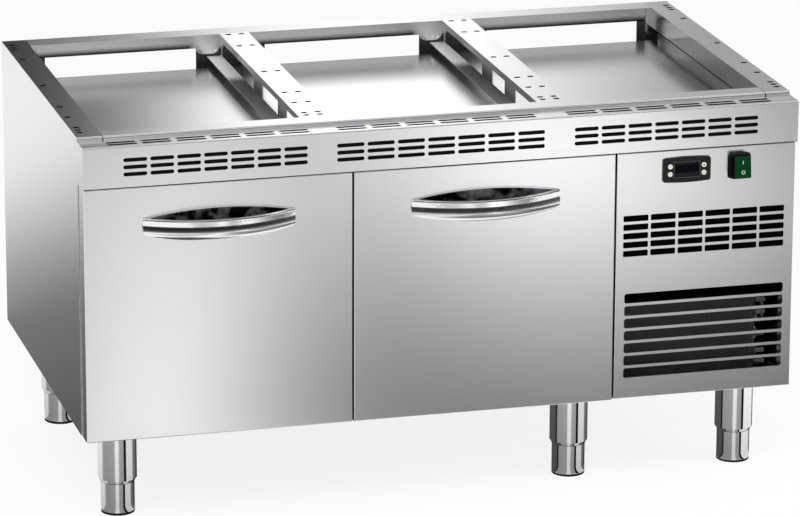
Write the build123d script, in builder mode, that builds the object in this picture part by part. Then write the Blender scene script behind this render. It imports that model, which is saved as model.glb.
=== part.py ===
from build123d import *

import os

os.makedirs("parts", exist_ok=True)

# Overall size in millimetres: +X to the right, -Y to the front, +Z up,
# origin on the floor under the middle of the whole counter.
width = 1200.0  # across the fascia, three equal bays
depth = 700.0  # fascia face to the back of the rear rail
height = 650.0  # floor to the rail tops
leg_height = 150.0  # floor to the underside of the body
handle_reach = 34.0  # handles ahead of the fascia face
bay_count = 3

# Sheet metal
skin = 1.5  # outer skins, panels and liners
rail_sheet = 2.0  # top frame and rear brackets
edge_radius = 1.2  # bend on the front edges of fronts and panels

# Top frame
side_rail_width = 42.0
front_rail_width = 36.0
rear_rail_width = 42.0
side_flange = 34.0  # inner flanges of the side rails, from the rail tops
corner_return = 10.0  # side rails turned in at the rear, in line with the rear rail's flange
corner_drop = 60.0  # those returns, from the rail tops
rear_flange = 23.0  # front flange of the rear rail
rear_skirt = 30.0  # back flange of the rear rail
outer_flange = 28.0  # side rail flange against the side panel
rail_seam = 0.6  # between the ends of the rails
rail_radius = 3.0  # rolled front edge
cross_rail_width = 51.5
cross_rail_depth = 40.0
cross_lip = 8.0  # turned-down lip of the cap
cross_flange = 25.0  # foot turned outwards from the web
cross_window_top = 13.0  # below the rail tops
cross_window_height = 25.0
cross_windows = (  # from the fascia face, one row for each cross rail
    ((90.0, 179.0), (240.0, 348.0)),
    ((90.0, 212.0), (275.0, 350.0)),
)
cross_rear_windows = (412.0, 413.0)  # where the last window of each starts
cross_window_end = 6.0  # web left behind it
ear_width = 43.0
ear_depth = 34.0
ear_radius = 14.0

# Slots for the units that stand on the frame
slot_length = 11.0
slot_width = 8.4
slot_inset = 11.5  # slot line from the edge of its bay
front_slot_rows = (94.0, 109.8, 176.3, 243.5, 386.0)  # from the fascia face
rear_slot_rows = (131.5, 49.0)  # from the back of the rear rail
side_front_rows = (78.0,)  # extra rows on the side rails
side_rear_rows = (64.0, 32.0)

# Deck, back and brackets
deck_drop = 51.0  # deck below the rail tops
deck_upstand = 25.0  # deck turned up behind the side rail flanges
upstand_play = 1.0  # from those flanges
rear_void = 74.0  # pipe space behind the back panel
bracket_width = 122.0
bracket_shift = -6.0  # bracket centre from the cross rail centre
end_bracket_width = 66.0
bracket_shelf_drop = 84.0  # below the rail tops
bracket_foot = 66.0

# Fascia and ledge
ledge_depth = 45.4
ledge_drop = 5.8
fascia_height = 68.0
fascia_return = 15.0
fascia_radius = 2.0
fascia_slot_count = 7
fascia_slot_height = 6.5
fascia_slot_bar = 5.0
fascia_slot_rows = (23.2, 35.0, 46.8)  # below the ledge
fascia_slot_margins = ((65.7, 32.5), (16.0, 35.6), (15.0, 70.0))  # from the two sides of each bay
ledge_slot_count = 6
ledge_slot_width = 8.0
ledge_slot_bar = 8.0
ledge_slot_rows = (13.0, 26.0)
ledge_slot_margins = ((42.6, 25.6), (20.7, 46.6), (6.0, 44.0))

# Drawer fronts and service panel
service_width = 311.0
front_gap = 3.0  # between neighbouring fronts
end_inset = 1.2  # fronts in from the sides
front_setback = 6.0  # front faces behind the fascia face
front_thickness = 34.0
front_top_gap = 3.2  # below the fascia
side_reveal = 1.0  # side panel tongue above the fronts
seal_gap = 5.0  # fronts to the body, filled by the gaskets
seal_play = 0.3
gasket_width = 10.0
gasket_offset = 3.0  # gasket out from the opening

# Cold room
wall = 40.0  # insulated walls, skins included
roof_wall = 44.0
post = 39.0  # insulated post between the drawers
runner_depth = 13.3
runner_height = 46.0
runner_sheet = 1.5
runner_play = 0.4
runner_rise = 110.0  # runner centre above the cold room floor
runner_end_gap = 20.0
box_rise = 32.0  # drawer box above the cold room floor
box_height = 230.0
box_end_gap = 26.0  # drawer box to the back of the cold room
box_rim = 8.0

# Handles
handle_length = 250.4
handle_drop = 52.0  # handle top below the top of the front
handle_height = 29.0
handle_end = 5.0  # reach of the blunt ends
handle_plate = 2.2
handle_arch = 11.6  # back plate above the handle
handle_wall = 5.5
handle_floor = 8.0
handle_tip = 11.0
handle_belly = 6.0  # underside in the middle below the base line
handle_end_rise = 2.0  # underside at the ends above it
handle_corner = 7.0
handle_profile = (  # height above the base line, set-in from the full reach
    (-handle_belly, 8.6),
    (-3.0, 4.3),
    (1.0, 1.45),
    (5.0, 0.2),
    (7.5, 0.0),
    (10.0, 0.2),
    (13.5, 0.7),
    (handle_height - 12.0, 1.2),
    (handle_height - 9.0, 1.15),
    (handle_height - 7.0, 1.25),
    (handle_height - 3.0, 1.15),
    (handle_height, 1.8),
)
cup_play = 0.15
cup_tip_play = 0.6  # at the narrow ends of the cup
cup_wall = 1.2

# Service panel openings
vent_columns = 6
vent_rows = 5
vent_height = 10.4
vent_pitch = 15.0
vent_bar = 4.2
vent_left = 12.2
vent_right = 17.3
vent_drop = 111.5  # first row centre below the top of the panel
vent_radius = 2.0
louvre_count = 7
louvre_bar = 4.8
louvre_margin = 16.0
louvre_above = 240.3  # panel above the louvres
louvre_below = 35.5  # panel below them
louvre_radius = 0.24  # of the louvre height
panel_foot = 15.0  # panel foot on the base panel

# Thermostat
thermostat_width = 82.4
thermostat_side = 39.4
thermostat_bow = 2.0
thermostat_radius = 4.0
thermostat_bezel = 4.0
thermostat_edge = 1.0
thermostat_from_left = 119.0
thermostat_drop = 33.3
thermostat_body = (71.0, 29.0, 60.0)
cutout_play = 0.2
lens_size = (44.0, 25.0)
lens_thickness = 1.0
lens_recess = 0.4
lens_rise = 0.4
button_radius = 4.0
button_play = 0.05
button_spread = 29.1
button_rise = (6.8, -6.2)
button_pocket = 3.2
button_proud = 0.9
button_body = 2.8

# Switch
switch_from_left = 210.3
switch_drop = 33.0
boot_base = (40.0, 42.4)
boot_front = (32.0, 41.0)
boot_radius = 5.0
boot_depth = 10.0
boot_cavity = (27.8, 38.6)
boot_floor = 1.2
switch_body = (22.0, 30.0, 26.0)
rocker_size = (27.0, 36.5)
rocker_front = 22.0
rocker_back = 4.0
rocker_pivot = 6.0
rocker_tilt = -7.0
rocker_round = 2.0
pin_radius = 1.5
pin_play = 0.05
pin_length = 30.0

# Legs
leg_inset = 68.0  # outer leg centres from the sides
leg_front = 93.0  # front leg centres behind the fascia face
leg_back = 48.0  # rear leg centres from the back panel
mid_leg_offset = 49.0  # middle leg centres left of the partition
sleeve_radius = 31.8
sleeve_bore = 27.85
sleeve_drop = 93.0  # sleeve below the body
sleeve_chamfer_height = 9.0
sleeve_lip = 28.8
sleeve_cap = 8.0
sleeve_flange_radius = 44.0
sleeve_flange = 3.0
foot_radius = 27.75
foot_length = 95.0
foot_wall = 3.2
foot_floor = 12.0
foot_ring = 4.0
foot_ring_step = 1.2

# Cooling unit
tray_margin = 8.0
tray_sheet = 2.0
tray_lip = 15.0
tray_front = 16.0
tray_back = 26.0
coil_left = 8.0
coil_right = 38.0
coil_depth = 40.0
coil_height = 138.0
coil_plate = 2.0
coil_plate_lip = 2.0
bend_radius = 10.0
bend_tube = 4.5
bend_count = 3
bend_margin = 20.0  # bends in from the ends of the fin block
shroud_sheet = 2.0
shroud_ring = 30.0
fan_bore = 62.0
fan_blade_reach = 58.0
fan_hub_radius = 18.0
fan_hub_length = 16.0
fan_blades = 5
fan_chord = 34.0
fan_pitch = 35.0
fan_sheet = 2.0
fan_gap = 14.0
shaft_radius = 4.0
shaft_play = 0.05
motor_radius = 25.0
motor_length = 36.0
motor_gap = 48.0
motor_bar = 20.0
motor_bar_sheet = 3.0
compressor_back = 286.0  # compressor axis behind the front of the body
compressor_left = 150.0
compressor_radius = 78.0
compressor_height = 132.0
compressor_plate = (180.0, 140.0, 3.0)
compressor_foot_radius = 12.0
compressor_foot_height = 11.5
compressor_dome = 35.0
boss = (20.0, 24.0, 20.0)
boss_rise = 72.0
pipe_radius = 4.0
pipe_bend = 16.0
pipe_side = 10.5  # pipes out from the condenser bends
pipe_rise = 2.0  # drier above the tray
suction_run = 80.0  # suction pipe behind the compressor
drier_radius = 12.0
drier_length = 80.0
control_size = (48.0, 150.0, 140.0)
control_drop = 40.0
control_back = 100.0

# Evaporator
window = 130.0  # square air window through the partition
window_back = 20.0
window_roof = 20.0
evaporator_wall = 20.0
evaporator_length = 200.0
evaporator_coil_size = 60.0
evaporator_coil_gap = 20.0
evaporator_side_gap = 2.0
small_fan_reach = 56.0
small_fan_from = 40.0
small_motor_radius = 18.0
small_motor_length = 28.0
small_shaft_radius = 3.0
small_shaft_reach = 30.0

# Mains gland
gland_from_right = 100.0
gland_rise = 90.0
gland_neck = 10.0
gland_bore = 4.5
gland_hex = 14.0
gland_hex_length = 9.0
gland_dome = 11.0
gland_dome_length = 14.0
gland_inside = 6.0

# Main planes
left = -width / 2
right = width / 2
front = -(depth - handle_reach) / 2
rear = front + depth
top = height
base = leg_height
bay = width / bay_count
rail_under = top - rail_sheet
cross_centres = [left + bay * number for number in range(1, bay_count)]
rail_front = front + ledge_depth
rail_back = rear - rear_rail_width
frame_front = rail_front + front_rail_width
fascia_top = top - ledge_drop
fascia_bottom = fascia_top - fascia_height
fronts_top = fascia_bottom - front_top_gap
front_face = front + front_setback
front_back = front_face + front_thickness
body_front = front_back + seal_gap
deck_top = top - deck_drop
cabinet_back = rear - rear_void
partition_right = right - service_width
drawer_pitch = (width - service_width) / 2
floor_top = base + skin
deck_under = deck_top - skin

# Cold room openings, left and right of the post
cold_floor = base + wall
cold_roof = deck_top - roof_wall
cold_back = cabinet_back - wall
post_centre = left + drawer_pitch
openings = (
    (left + wall, post_centre - post / 2),
    (post_centre + post / 2, partition_right - wall),
)
fronts = (
    (left + end_inset, post_centre - front_gap / 2),
    (post_centre + front_gap / 2, partition_right - front_gap / 2),
)
panel_left = partition_right + front_gap / 2
panel_right = right - end_inset
window_y = (cold_back - window_back - window, cold_back - window_back)
window_z = (cold_roof - window_roof - window, cold_roof - window_roof)


def block(x, y, z, mode=Mode.ADD):
    """Add or cut a straight-sided block between pairs of limits."""
    middle = tuple((low + high) / 2 for low, high in (x, y, z))
    size = tuple(abs(high - low) for low, high in (x, y, z))
    with Locations(middle):
        Box(*size, mode=mode)


def facing(y):
    """Give the upright plane at y, with local x along X and local y along Z, facing the front."""
    return Plane.XZ.offset(-y)


def spread(low, high, count, bar):
    """Give the slot length and slot centres that fill a span with bars between the slots."""
    length = (high - low - (count - 1) * bar) / count
    centres = [low + length / 2 + number * (length + bar) for number in range(count)]
    return length, centres


def save(piece, name):
    """Label a finished piece and write it."""
    piece.part.label = name
    export_step(piece.part, f"parts/{name}.step")


def save_sheets(pieces, name):
    """Label several touching sheets as one piece and write them."""
    whole = Compound([piece.part.solid() for piece in pieces])
    whole.label = name
    export_step(whole, f"parts/{name}.step")


# Side panels: upright sheets with a tongue that runs forward to the fascia
def side_panel(x):
    ledge_under = fascia_top - skin
    ledge_end = rail_front + rail_sheet
    with BuildPart() as panel:
        with BuildSketch(Plane.YZ.offset(x)):
            with BuildLine():
                Polyline(
                    (body_front, base),
                    (rear, base),
                    (rear, rail_under),
                    (ledge_end, rail_under),
                    (ledge_end, ledge_under),
                    (front + skin, ledge_under),
                    (front + skin, fronts_top + side_reveal),
                    (body_front, fronts_top + side_reveal),
                    close=True,
                )
            make_face()
        extrude(amount=skin)
    return panel


save(side_panel(left), "left_side_panel")
save(side_panel(right - skin), "right_side_panel")


# Slotted side rails: top, inner flange with a return at the rear, flange on the side panel and a
# front drop to the ledge
def slot_rows(front_rows, rear_rows):
    return [front + row for row in front_rows] + [rear - row for row in rear_rows]


def side_rail(edge, inward):
    inner = edge + inward * side_rail_width
    rows = slot_rows(front_slot_rows + side_front_rows, rear_slot_rows + side_rear_rows)
    with BuildPart() as rail:
        block((edge, inner), (rail_front, rear), (rail_under, top))
        block((edge, inner), (rail_front, rail_front + rail_sheet), (fascia_top, rail_under))
        nose = rail.edges().filter_by(Axis.X).group_by(Axis.Y)[0].sort_by(Axis.Z)[-1]
        fillet(nose, rail_radius)
        block(
            (inner, inner - inward * rail_sheet),
            (frame_front, rail_back),
            (top - side_flange, rail_under),
        )
        block(
            (edge + inward * skin, edge + inward * (skin + rail_sheet)),
            (frame_front, rail_back),
            (top - outer_flange, rail_under),
        )
        block(
            (inner - inward * rail_sheet, inner + inward * corner_return),
            (rail_back, rail_back + rail_sheet),
            (top - corner_drop, rail_under),
        )
        with BuildSketch(Plane.XY.offset(top)):
            with Locations(*[(edge + inward * slot_inset, row) for row in rows]):
                SlotOverall(slot_length, slot_width)
        extrude(amount=-rail_sheet, mode=Mode.SUBTRACT)
    return rail


save(side_rail(left, 1), "left_rail")
save(side_rail(right, -1), "right_rail")

# Front rail between the side rails, stepping down to the ledge in front and to the deck behind
between_rails = (left + side_rail_width + rail_seam, right - side_rail_width - rail_seam)
with BuildPart() as front_rail:
    block(between_rails, (rail_front, frame_front), (rail_under, top))
    block(between_rails, (rail_front, rail_front + rail_sheet), (fascia_top, rail_under))
    nose = front_rail.edges().filter_by(Axis.X).group_by(Axis.Y)[0].sort_by(Axis.Z)[-1]
    fillet(nose, rail_radius)
    block(between_rails, (frame_front - rail_sheet, frame_front), (deck_top, rail_under))
save(front_rail, "front_rail")

# Rear rail with a rounded ear beside each cross rail
with BuildPart() as rear_rail:
    block(between_rails, (rail_back, rear), (rail_under, top))
    flange_span = (between_rails[0] + corner_return, between_rails[1] - corner_return)
    block(flange_span, (rail_back, rail_back + rail_sheet), (top - rear_flange, rail_under))
    block(between_rails, (rear - rail_sheet, rear), (top - rear_skirt, rail_under))
    ear_height = ear_depth - rail_sheet
    ear_ends = [centre - cross_rail_width / 2 for centre in cross_centres]
    with BuildSketch(facing(rail_back + rail_sheet)) as ears:
        with Locations(*[(end - ear_width / 2, rail_under - ear_height / 2) for end in ear_ends]):
            Rectangle(ear_width, ear_height)
        fillet(ears.vertices().group_by(Axis.Y)[0], ear_radius)
    extrude(amount=rail_sheet)
save(rear_rail, "rear_rail")


# Cross rails: cap with short lips, a web with windows and a foot turned outwards on the left
def cross_rail(centre, windows):
    half = cross_rail_width / 2
    span = (frame_front, rail_back)
    rows = slot_rows(front_slot_rows, rear_slot_rows)
    foot_z = (top - cross_rail_depth, top - cross_rail_depth + rail_sheet)
    with BuildPart() as rail:
        block((centre - half, centre + half), span, (rail_under, top))
        for side in (-1, 1):
            edge = centre + side * half
            block((edge, edge - side * rail_sheet), span, (top - cross_lip, rail_under))
        web = centre - half + rail_sheet
        block((web, web + skin), span, (top - cross_rail_depth, rail_under))
        block((web - cross_flange, web), span, foot_z)
        for low, high in windows:
            window_top = top - cross_window_top
            block(
                (web, web + skin),
                (front + low, front + high),
                (window_top - cross_window_height, window_top),
                mode=Mode.SUBTRACT,
            )
        with BuildSketch(Plane.XY.offset(top)):
            places = [(centre + side * slot_inset, row) for side in (-1, 1) for row in rows]
            with Locations(*places):
                SlotOverall(slot_length, slot_width)
        extrude(amount=-rail_sheet, mode=Mode.SUBTRACT)
    return rail


window_end = rail_back - front - cross_window_end
for name, centre, windows, start in zip(
    ("left", "right"), cross_centres, cross_windows, cross_rear_windows
):
    save(cross_rail(centre, (*windows, (start, window_end))), f"cross_rail_{name}")

# Rear brackets: foot on the back panel, shelf, and an upright behind the rear rail's front flange
with BuildPart() as rear_brackets:
    shelf = top - bracket_shelf_drop
    upright = rail_back + rail_sheet
    spans = [(left + skin, left + skin + end_bracket_width)]
    for centre in cross_centres:
        middle = centre + bracket_shift
        spans.append((middle - bracket_width / 2, middle + bracket_width / 2))
    spans.append((right - skin - end_bracket_width, right - skin))
    for span in spans:
        block(span, (cabinet_back, cabinet_back + rail_sheet), (shelf - bracket_foot, shelf))
        block(span, (cabinet_back, upright + rail_sheet), (shelf, shelf + rail_sheet))
        block(span, (upright, upright + rail_sheet), (shelf + rail_sheet, rail_under))
save(rear_brackets, "rear_brackets")

# Fascia: slotted face, slotted ledge and a return along the bottom
with BuildPart() as front_fascia:
    ledge_end = rail_front + rail_sheet
    block((left, right), (front, front + skin), (fascia_bottom, fascia_top))
    block((left, right), (front, ledge_end), (fascia_top - skin, fascia_top))
    nose = front_fascia.edges().filter_by(Axis.X).group_by(Axis.Y)[0].sort_by(Axis.Z)[-1]
    fillet(nose, fascia_radius)
    block(
        (left + skin, right - skin),
        (front + skin, front + fascia_return),
        (fascia_bottom, fascia_bottom + skin),
    )
    for number, (near, far) in enumerate(fascia_slot_margins):
        low = left + number * bay + near
        high = left + (number + 1) * bay - far
        length, centres = spread(low, high, fascia_slot_count, fascia_slot_bar)
        with BuildSketch(facing(front + skin)):
            with Locations(*[(x, fascia_top - row) for x in centres for row in fascia_slot_rows]):
                SlotOverall(length, fascia_slot_height)
        extrude(amount=skin, mode=Mode.SUBTRACT)
    for number, (near, far) in enumerate(ledge_slot_margins):
        low = left + number * bay + near
        high = left + (number + 1) * bay - far
        length, centres = spread(low, high, ledge_slot_count, ledge_slot_bar)
        with BuildSketch(Plane.XY.offset(fascia_top)):
            with Locations(*[(x, front + row) for x in centres for row in ledge_slot_rows]):
                SlotOverall(length, ledge_slot_width)
        extrude(amount=-skin, mode=Mode.SUBTRACT)
save(front_fascia, "front_fascia")

# Deck with an upstand along both sides, base and back of the body
between_sides = (left + skin, right - skin)
with BuildPart() as top_deck:
    block(between_sides, (body_front, cabinet_back), (deck_under, deck_top))
    for edge, inward in ((left, 1), (right, -1)):
        upstand = edge + inward * (side_rail_width - rail_sheet - upstand_play)
        block(
            (upstand, upstand - inward * skin),
            (frame_front, cabinet_back),
            (deck_top, deck_top + deck_upstand),
        )
save(top_deck, "top_deck")

with BuildPart() as base_panel:
    block(between_sides, (body_front, cabinet_back - skin), (base, floor_top))
save(base_panel, "base_panel")

gland_x = right - gland_from_right
gland_z = base + gland_rise
with BuildPart() as back_panel:
    block(between_sides, (cabinet_back - skin, cabinet_back), (base, deck_under))
    with BuildSketch(facing(cabinet_back)):
        with Locations((gland_x, gland_z)):
            Circle(gland_neck)
    extrude(amount=skin, mode=Mode.SUBTRACT)
save(back_panel, "back_panel")

# Cold room: two open-fronted tubs of butted sheets behind a face frame, with air windows in
# line through the post and the partition to the evaporator
cold_span = (left + skin, partition_right - skin)
air_window = (openings[0][1] - skin, partition_right + skin)


def sheet(x, y, z, windowed=False):
    """Build one flat sheet, cut by the air window where it stands in its way."""
    with BuildPart() as piece:
        block(x, y, z)
        if windowed:
            block(air_window, window_y, window_z, mode=Mode.SUBTRACT)
    return piece


liner_face = (body_front, body_front + skin)
liner_run = (body_front + skin, cold_back)
full_rise = (floor_top, deck_under)
stiles = (
    (cold_span[0], openings[0][0]),
    (openings[0][1], openings[1][0]),
    (openings[1][1], cold_span[1]),
)
liner_sheets = [sheet(stile, liner_face, full_rise) for stile in stiles]
for number, (low, high) in enumerate(openings):
    wide = (low - skin, high + skin)
    tall = (cold_floor, cold_roof)
    liner_sheets += [
        sheet((low, high), liner_face, (floor_top, cold_floor)),
        sheet((low, high), liner_face, (cold_roof, deck_under)),
        sheet(wide, liner_run, (cold_floor - skin, cold_floor)),
        sheet(wide, liner_run, (cold_roof, cold_roof + skin)),
        sheet((low - skin, low), liner_run, tall, windowed=number > 0),
        sheet((high, high + skin), liner_run, tall, windowed=True),
        sheet(wide, (cold_back, cold_back + skin), (cold_floor - skin, cold_roof + skin)),
    ]
save_sheets(liner_sheets, "cabinet_liner")

with BuildPart() as insulation_foam:
    block(cold_span, (body_front + skin, cabinet_back - skin), (floor_top, deck_under))
    for low, high in openings:
        block(
            (low - skin, high + skin),
            (body_front, cold_back + skin),
            (cold_floor - skin, cold_roof + skin),
            mode=Mode.SUBTRACT,
        )
    block(air_window, window_y, window_z, mode=Mode.SUBTRACT)
save(insulation_foam, "insulation_foam")

with BuildPart() as partition_panel:
    block(
        (partition_right - skin, partition_right),
        (body_front, cabinet_back - skin),
        (floor_top, deck_under),
    )
    block(air_window, window_y, window_z, mode=Mode.SUBTRACT)
save(partition_panel, "partition_panel")

# Telescopic runners: three channels nested one inside the other on each side of a drawer
runner_z = cold_floor + runner_rise
runner_y = (body_front + skin, cold_back - runner_end_gap)
mid_web = runner_sheet + runner_play
mid_half = runner_height / 2 - runner_sheet - runner_play
slide_start = mid_web + runner_sheet + runner_play
slide_half = mid_half - runner_sheet - runner_play


def channel(face, inward, start, end, web_start, half):
    """Add a channel whose flanges run from start to end off a wall, with its web at web_start."""
    flange = (face + inward * start, face + inward * end)
    web = (face + inward * web_start, face + inward * (web_start + runner_sheet))
    block(web, runner_y, (runner_z - half, runner_z + half))
    block(flange, runner_y, (runner_z + half - runner_sheet, runner_z + half))
    block(flange, runner_y, (runner_z - half, runner_z - half + runner_sheet))


with BuildPart() as fixed_runners:
    for low, high in openings:
        for face, inward in ((low, 1), (high, -1)):
            channel(face, inward, 0, runner_depth - runner_play, 0, runner_height / 2)
save(fixed_runners, "fixed_runners")


def middle_runners(opening):
    with BuildPart() as runners:
        for face, inward in ((opening[0], 1), (opening[1], -1)):
            channel(face, inward, mid_web, runner_depth - 2 * runner_play, mid_web, mid_half)
    return runners


def drawer_runners(opening):
    web_start = runner_depth - runner_sheet
    with BuildPart() as runners:
        for face, inward in ((opening[0], 1), (opening[1], -1)):
            channel(face, inward, slide_start, runner_depth, web_start, slide_half)
    return runners


# Drawer fronts: a folded pan with its foamed inner liner, gasket and open box behind
def drawer_front(span):
    with BuildPart() as pan:
        block(span, (front_face, front_back), (base, fronts_top))
        fillet(pan.faces().sort_by(Axis.Y)[0].edges(), edge_radius)
        block(
            (span[0] + skin, span[1] - skin),
            (front_face + skin, front_back),
            (base + skin, fronts_top - skin),
            mode=Mode.SUBTRACT,
        )
    return pan


def drawer_liner(span):
    with BuildPart() as liner:
        block(
            (span[0] + skin, span[1] - skin),
            (front_face + skin, front_back),
            (base + skin, fronts_top - skin),
        )
    return liner


def drawer_gasket(opening):
    inner = gasket_offset
    outer = gasket_offset + gasket_width
    span_y = (front_back, body_front - seal_play)
    with BuildPart() as gasket:
        block(
            (opening[0] - outer, opening[1] + outer),
            span_y,
            (cold_floor - outer, cold_roof + outer),
        )
        block(
            (opening[0] - inner, opening[1] + inner),
            span_y,
            (cold_floor - inner, cold_roof + inner),
            mode=Mode.SUBTRACT,
        )
    return gasket


def drawer_box(opening):
    """Give the sheets of one open box: floor, four walls and a rim along both sides."""
    low = opening[0] + runner_depth
    high = opening[1] - runner_depth
    floor = cold_floor + box_rise
    rim = floor + box_height
    back = cold_back - box_end_gap
    tall = (floor + skin, rim)
    side_run = (front_back + skin, back - skin)
    rim_run = (body_front, back)
    rim_rise = (rim - skin, rim)
    return [
        sheet((low, high), (front_back, back), (floor, floor + skin)),
        sheet((low, high), (front_back, front_back + skin), tall),
        sheet((low, high), (back - skin, back), tall),
        sheet((low, low + skin), side_run, tall),
        sheet((high - skin, high), side_run, tall),
        sheet((low - box_rim, low), rim_run, rim_rise),
        sheet((high, high + box_rim), rim_run, rim_rise),
    ]


# Cup handles: a bowed shell open at the top, with an arched back plate and a black lining
handle_top = fronts_top - handle_drop
handle_low = handle_top - handle_height
full_reach = handle_reach + front_setback


def lens(middle, half, start, reach):
    """Draw the face between a straight back line and a bowed front line."""
    back_y = front_face - start
    with BuildLine() as outline:
        Line((middle - half, back_y), (middle + half, back_y))
        ThreePointArc(
            (middle + half, back_y), (middle, front_face - reach), (middle - half, back_y)
        )
    make_face(outline.edges())


def handle(middle):
    """Build a handle: a side section turned about the bow's axis and cut to the front outline."""
    half = handle_length / 2
    bow = full_reach - handle_end
    bow_radius = (half**2 + bow**2) / (2 * bow)
    bow_axis = Axis((middle, front_face - full_reach + bow_radius, 0), (0, 0, 1))
    with BuildPart() as shell:
        with BuildSketch(Plane.YZ.offset(middle)):
            with BuildLine():
                curve = Spline(
                    *[
                        (front_face - full_reach + set_in, handle_low + level)
                        for level, set_in in handle_profile
                    ]
                )
                Polyline(
                    curve @ 1,
                    (front_face, handle_top),
                    (front_face, handle_low - handle_belly),
                    curve @ 0,
                )
            make_face()
        revolve(axis=bow_axis)
        with BuildSketch(facing(front_face)) as outline:
            with BuildLine():
                ends_z = handle_low + handle_end_rise
                ThreePointArc(
                    (middle - half, ends_z),
                    (middle, handle_low - handle_belly),
                    (middle + half, ends_z),
                )
                Polyline(
                    (middle + half, ends_z),
                    (middle + half, handle_top),
                    (middle - half, handle_top),
                    (middle - half, ends_z),
                )
            make_face()
            fillet(outline.vertices().group_by(Axis.Y)[0], handle_corner)
        extrude(amount=full_reach, mode=Mode.INTERSECT)
        with BuildSketch(facing(front_face)):
            with BuildLine():
                Line((middle - half, handle_top), (middle + half, handle_top))
                ThreePointArc(
                    (middle + half, handle_top),
                    (middle, handle_top + handle_arch),
                    (middle - half, handle_top),
                )
            make_face()
        extrude(amount=handle_plate)
        with BuildSketch(Plane.XY.offset(handle_low + handle_floor)):
            lens(middle, half - handle_tip, handle_plate, full_reach - handle_wall)
        extrude(amount=handle_height, mode=Mode.SUBTRACT)
    return shell


def handle_cup(middle):
    half = handle_length / 2 - handle_tip - cup_tip_play
    start = handle_plate + cup_play
    reach = full_reach - handle_wall - cup_play
    cup_low = handle_low + handle_floor
    with BuildPart() as cup:
        with BuildSketch(Plane.XY.offset(cup_low)):
            lens(middle, half, start, reach)
        extrude(amount=handle_top - cup_low)
        with BuildSketch(Plane.XY.offset(cup_low + cup_wall)):
            lens(middle, half - 2 * cup_wall, start + cup_wall, reach - cup_wall)
        extrude(amount=handle_height, mode=Mode.SUBTRACT)
        with BuildSketch(facing(front_face - start)):
            with BuildLine():
                Line((middle - half, handle_top), (middle + half, handle_top))
                ThreePointArc(
                    (middle + half, handle_top),
                    (middle, handle_top + handle_arch - cup_wall),
                    (middle - half, handle_top),
                )
            make_face()
        extrude(amount=cup_wall)
    return cup


for number, (span, opening) in enumerate(zip(fronts, openings), start=1):
    middle = (span[0] + span[1]) / 2
    save(drawer_front(span), f"drawer_front_{number}")
    save(drawer_liner(span), f"drawer_liner_{number}")
    save(drawer_gasket(opening), f"drawer_gasket_{number}")
    save_sheets(drawer_box(opening), f"drawer_box_{number}")
    save(drawer_runners(opening), f"drawer_runners_{number}")
    save(middle_runners(opening), f"middle_runners_{number}")
    save(handle(middle), f"handle_{number}")
    save(handle_cup(middle), f"handle_cup_{number}")

# Service panel: a folded pan with vent slots, louvres and two cut-outs
thermostat_x = panel_left + thermostat_from_left
thermostat_z = fronts_top - thermostat_drop
switch_x = panel_left + switch_from_left
switch_z = fronts_top - switch_drop
panel_base = floor_top
with BuildPart() as service_panel:
    block((panel_left, panel_right), (front_face, front_back), (panel_base, fronts_top))
    fillet(service_panel.faces().sort_by(Axis.Y)[0].edges(), edge_radius)
    block(
        (panel_left + skin, panel_right - skin),
        (front_face + skin, front_back),
        (panel_base + skin, fronts_top - skin),
        mode=Mode.SUBTRACT,
    )
    block(
        (panel_left, panel_right - skin),
        (front_back, body_front + panel_foot),
        (panel_base, panel_base + skin),
    )
    vent_length, vent_x = spread(
        panel_left + vent_left, panel_right - vent_right, vent_columns, vent_bar
    )
    vent_z = [fronts_top - vent_drop - row * vent_pitch for row in range(vent_rows)]
    louvre_height, louvre_z = spread(
        panel_base + louvre_below, fronts_top - louvre_above, louvre_count, louvre_bar
    )
    louvre_length = panel_right - panel_left - 2 * louvre_margin
    with BuildSketch(facing(front_face + skin)):
        with Locations(*[(x, z) for x in vent_x for z in vent_z]):
            RectangleRounded(vent_length, vent_height, vent_radius)
        with Locations(*[((panel_left + panel_right) / 2, z) for z in louvre_z]):
            RectangleRounded(louvre_length, louvre_height, louvre_radius * louvre_height)
        with Locations((thermostat_x, thermostat_z)):
            Rectangle(thermostat_body[0] + 2 * cutout_play, thermostat_body[1] + 2 * cutout_play)
        with Locations((switch_x, switch_z)):
            Rectangle(switch_body[0] + 2 * cutout_play, switch_body[1] + 2 * cutout_play)
    extrude(amount=skin, mode=Mode.SUBTRACT)
save(service_panel, "service_panel")

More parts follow.
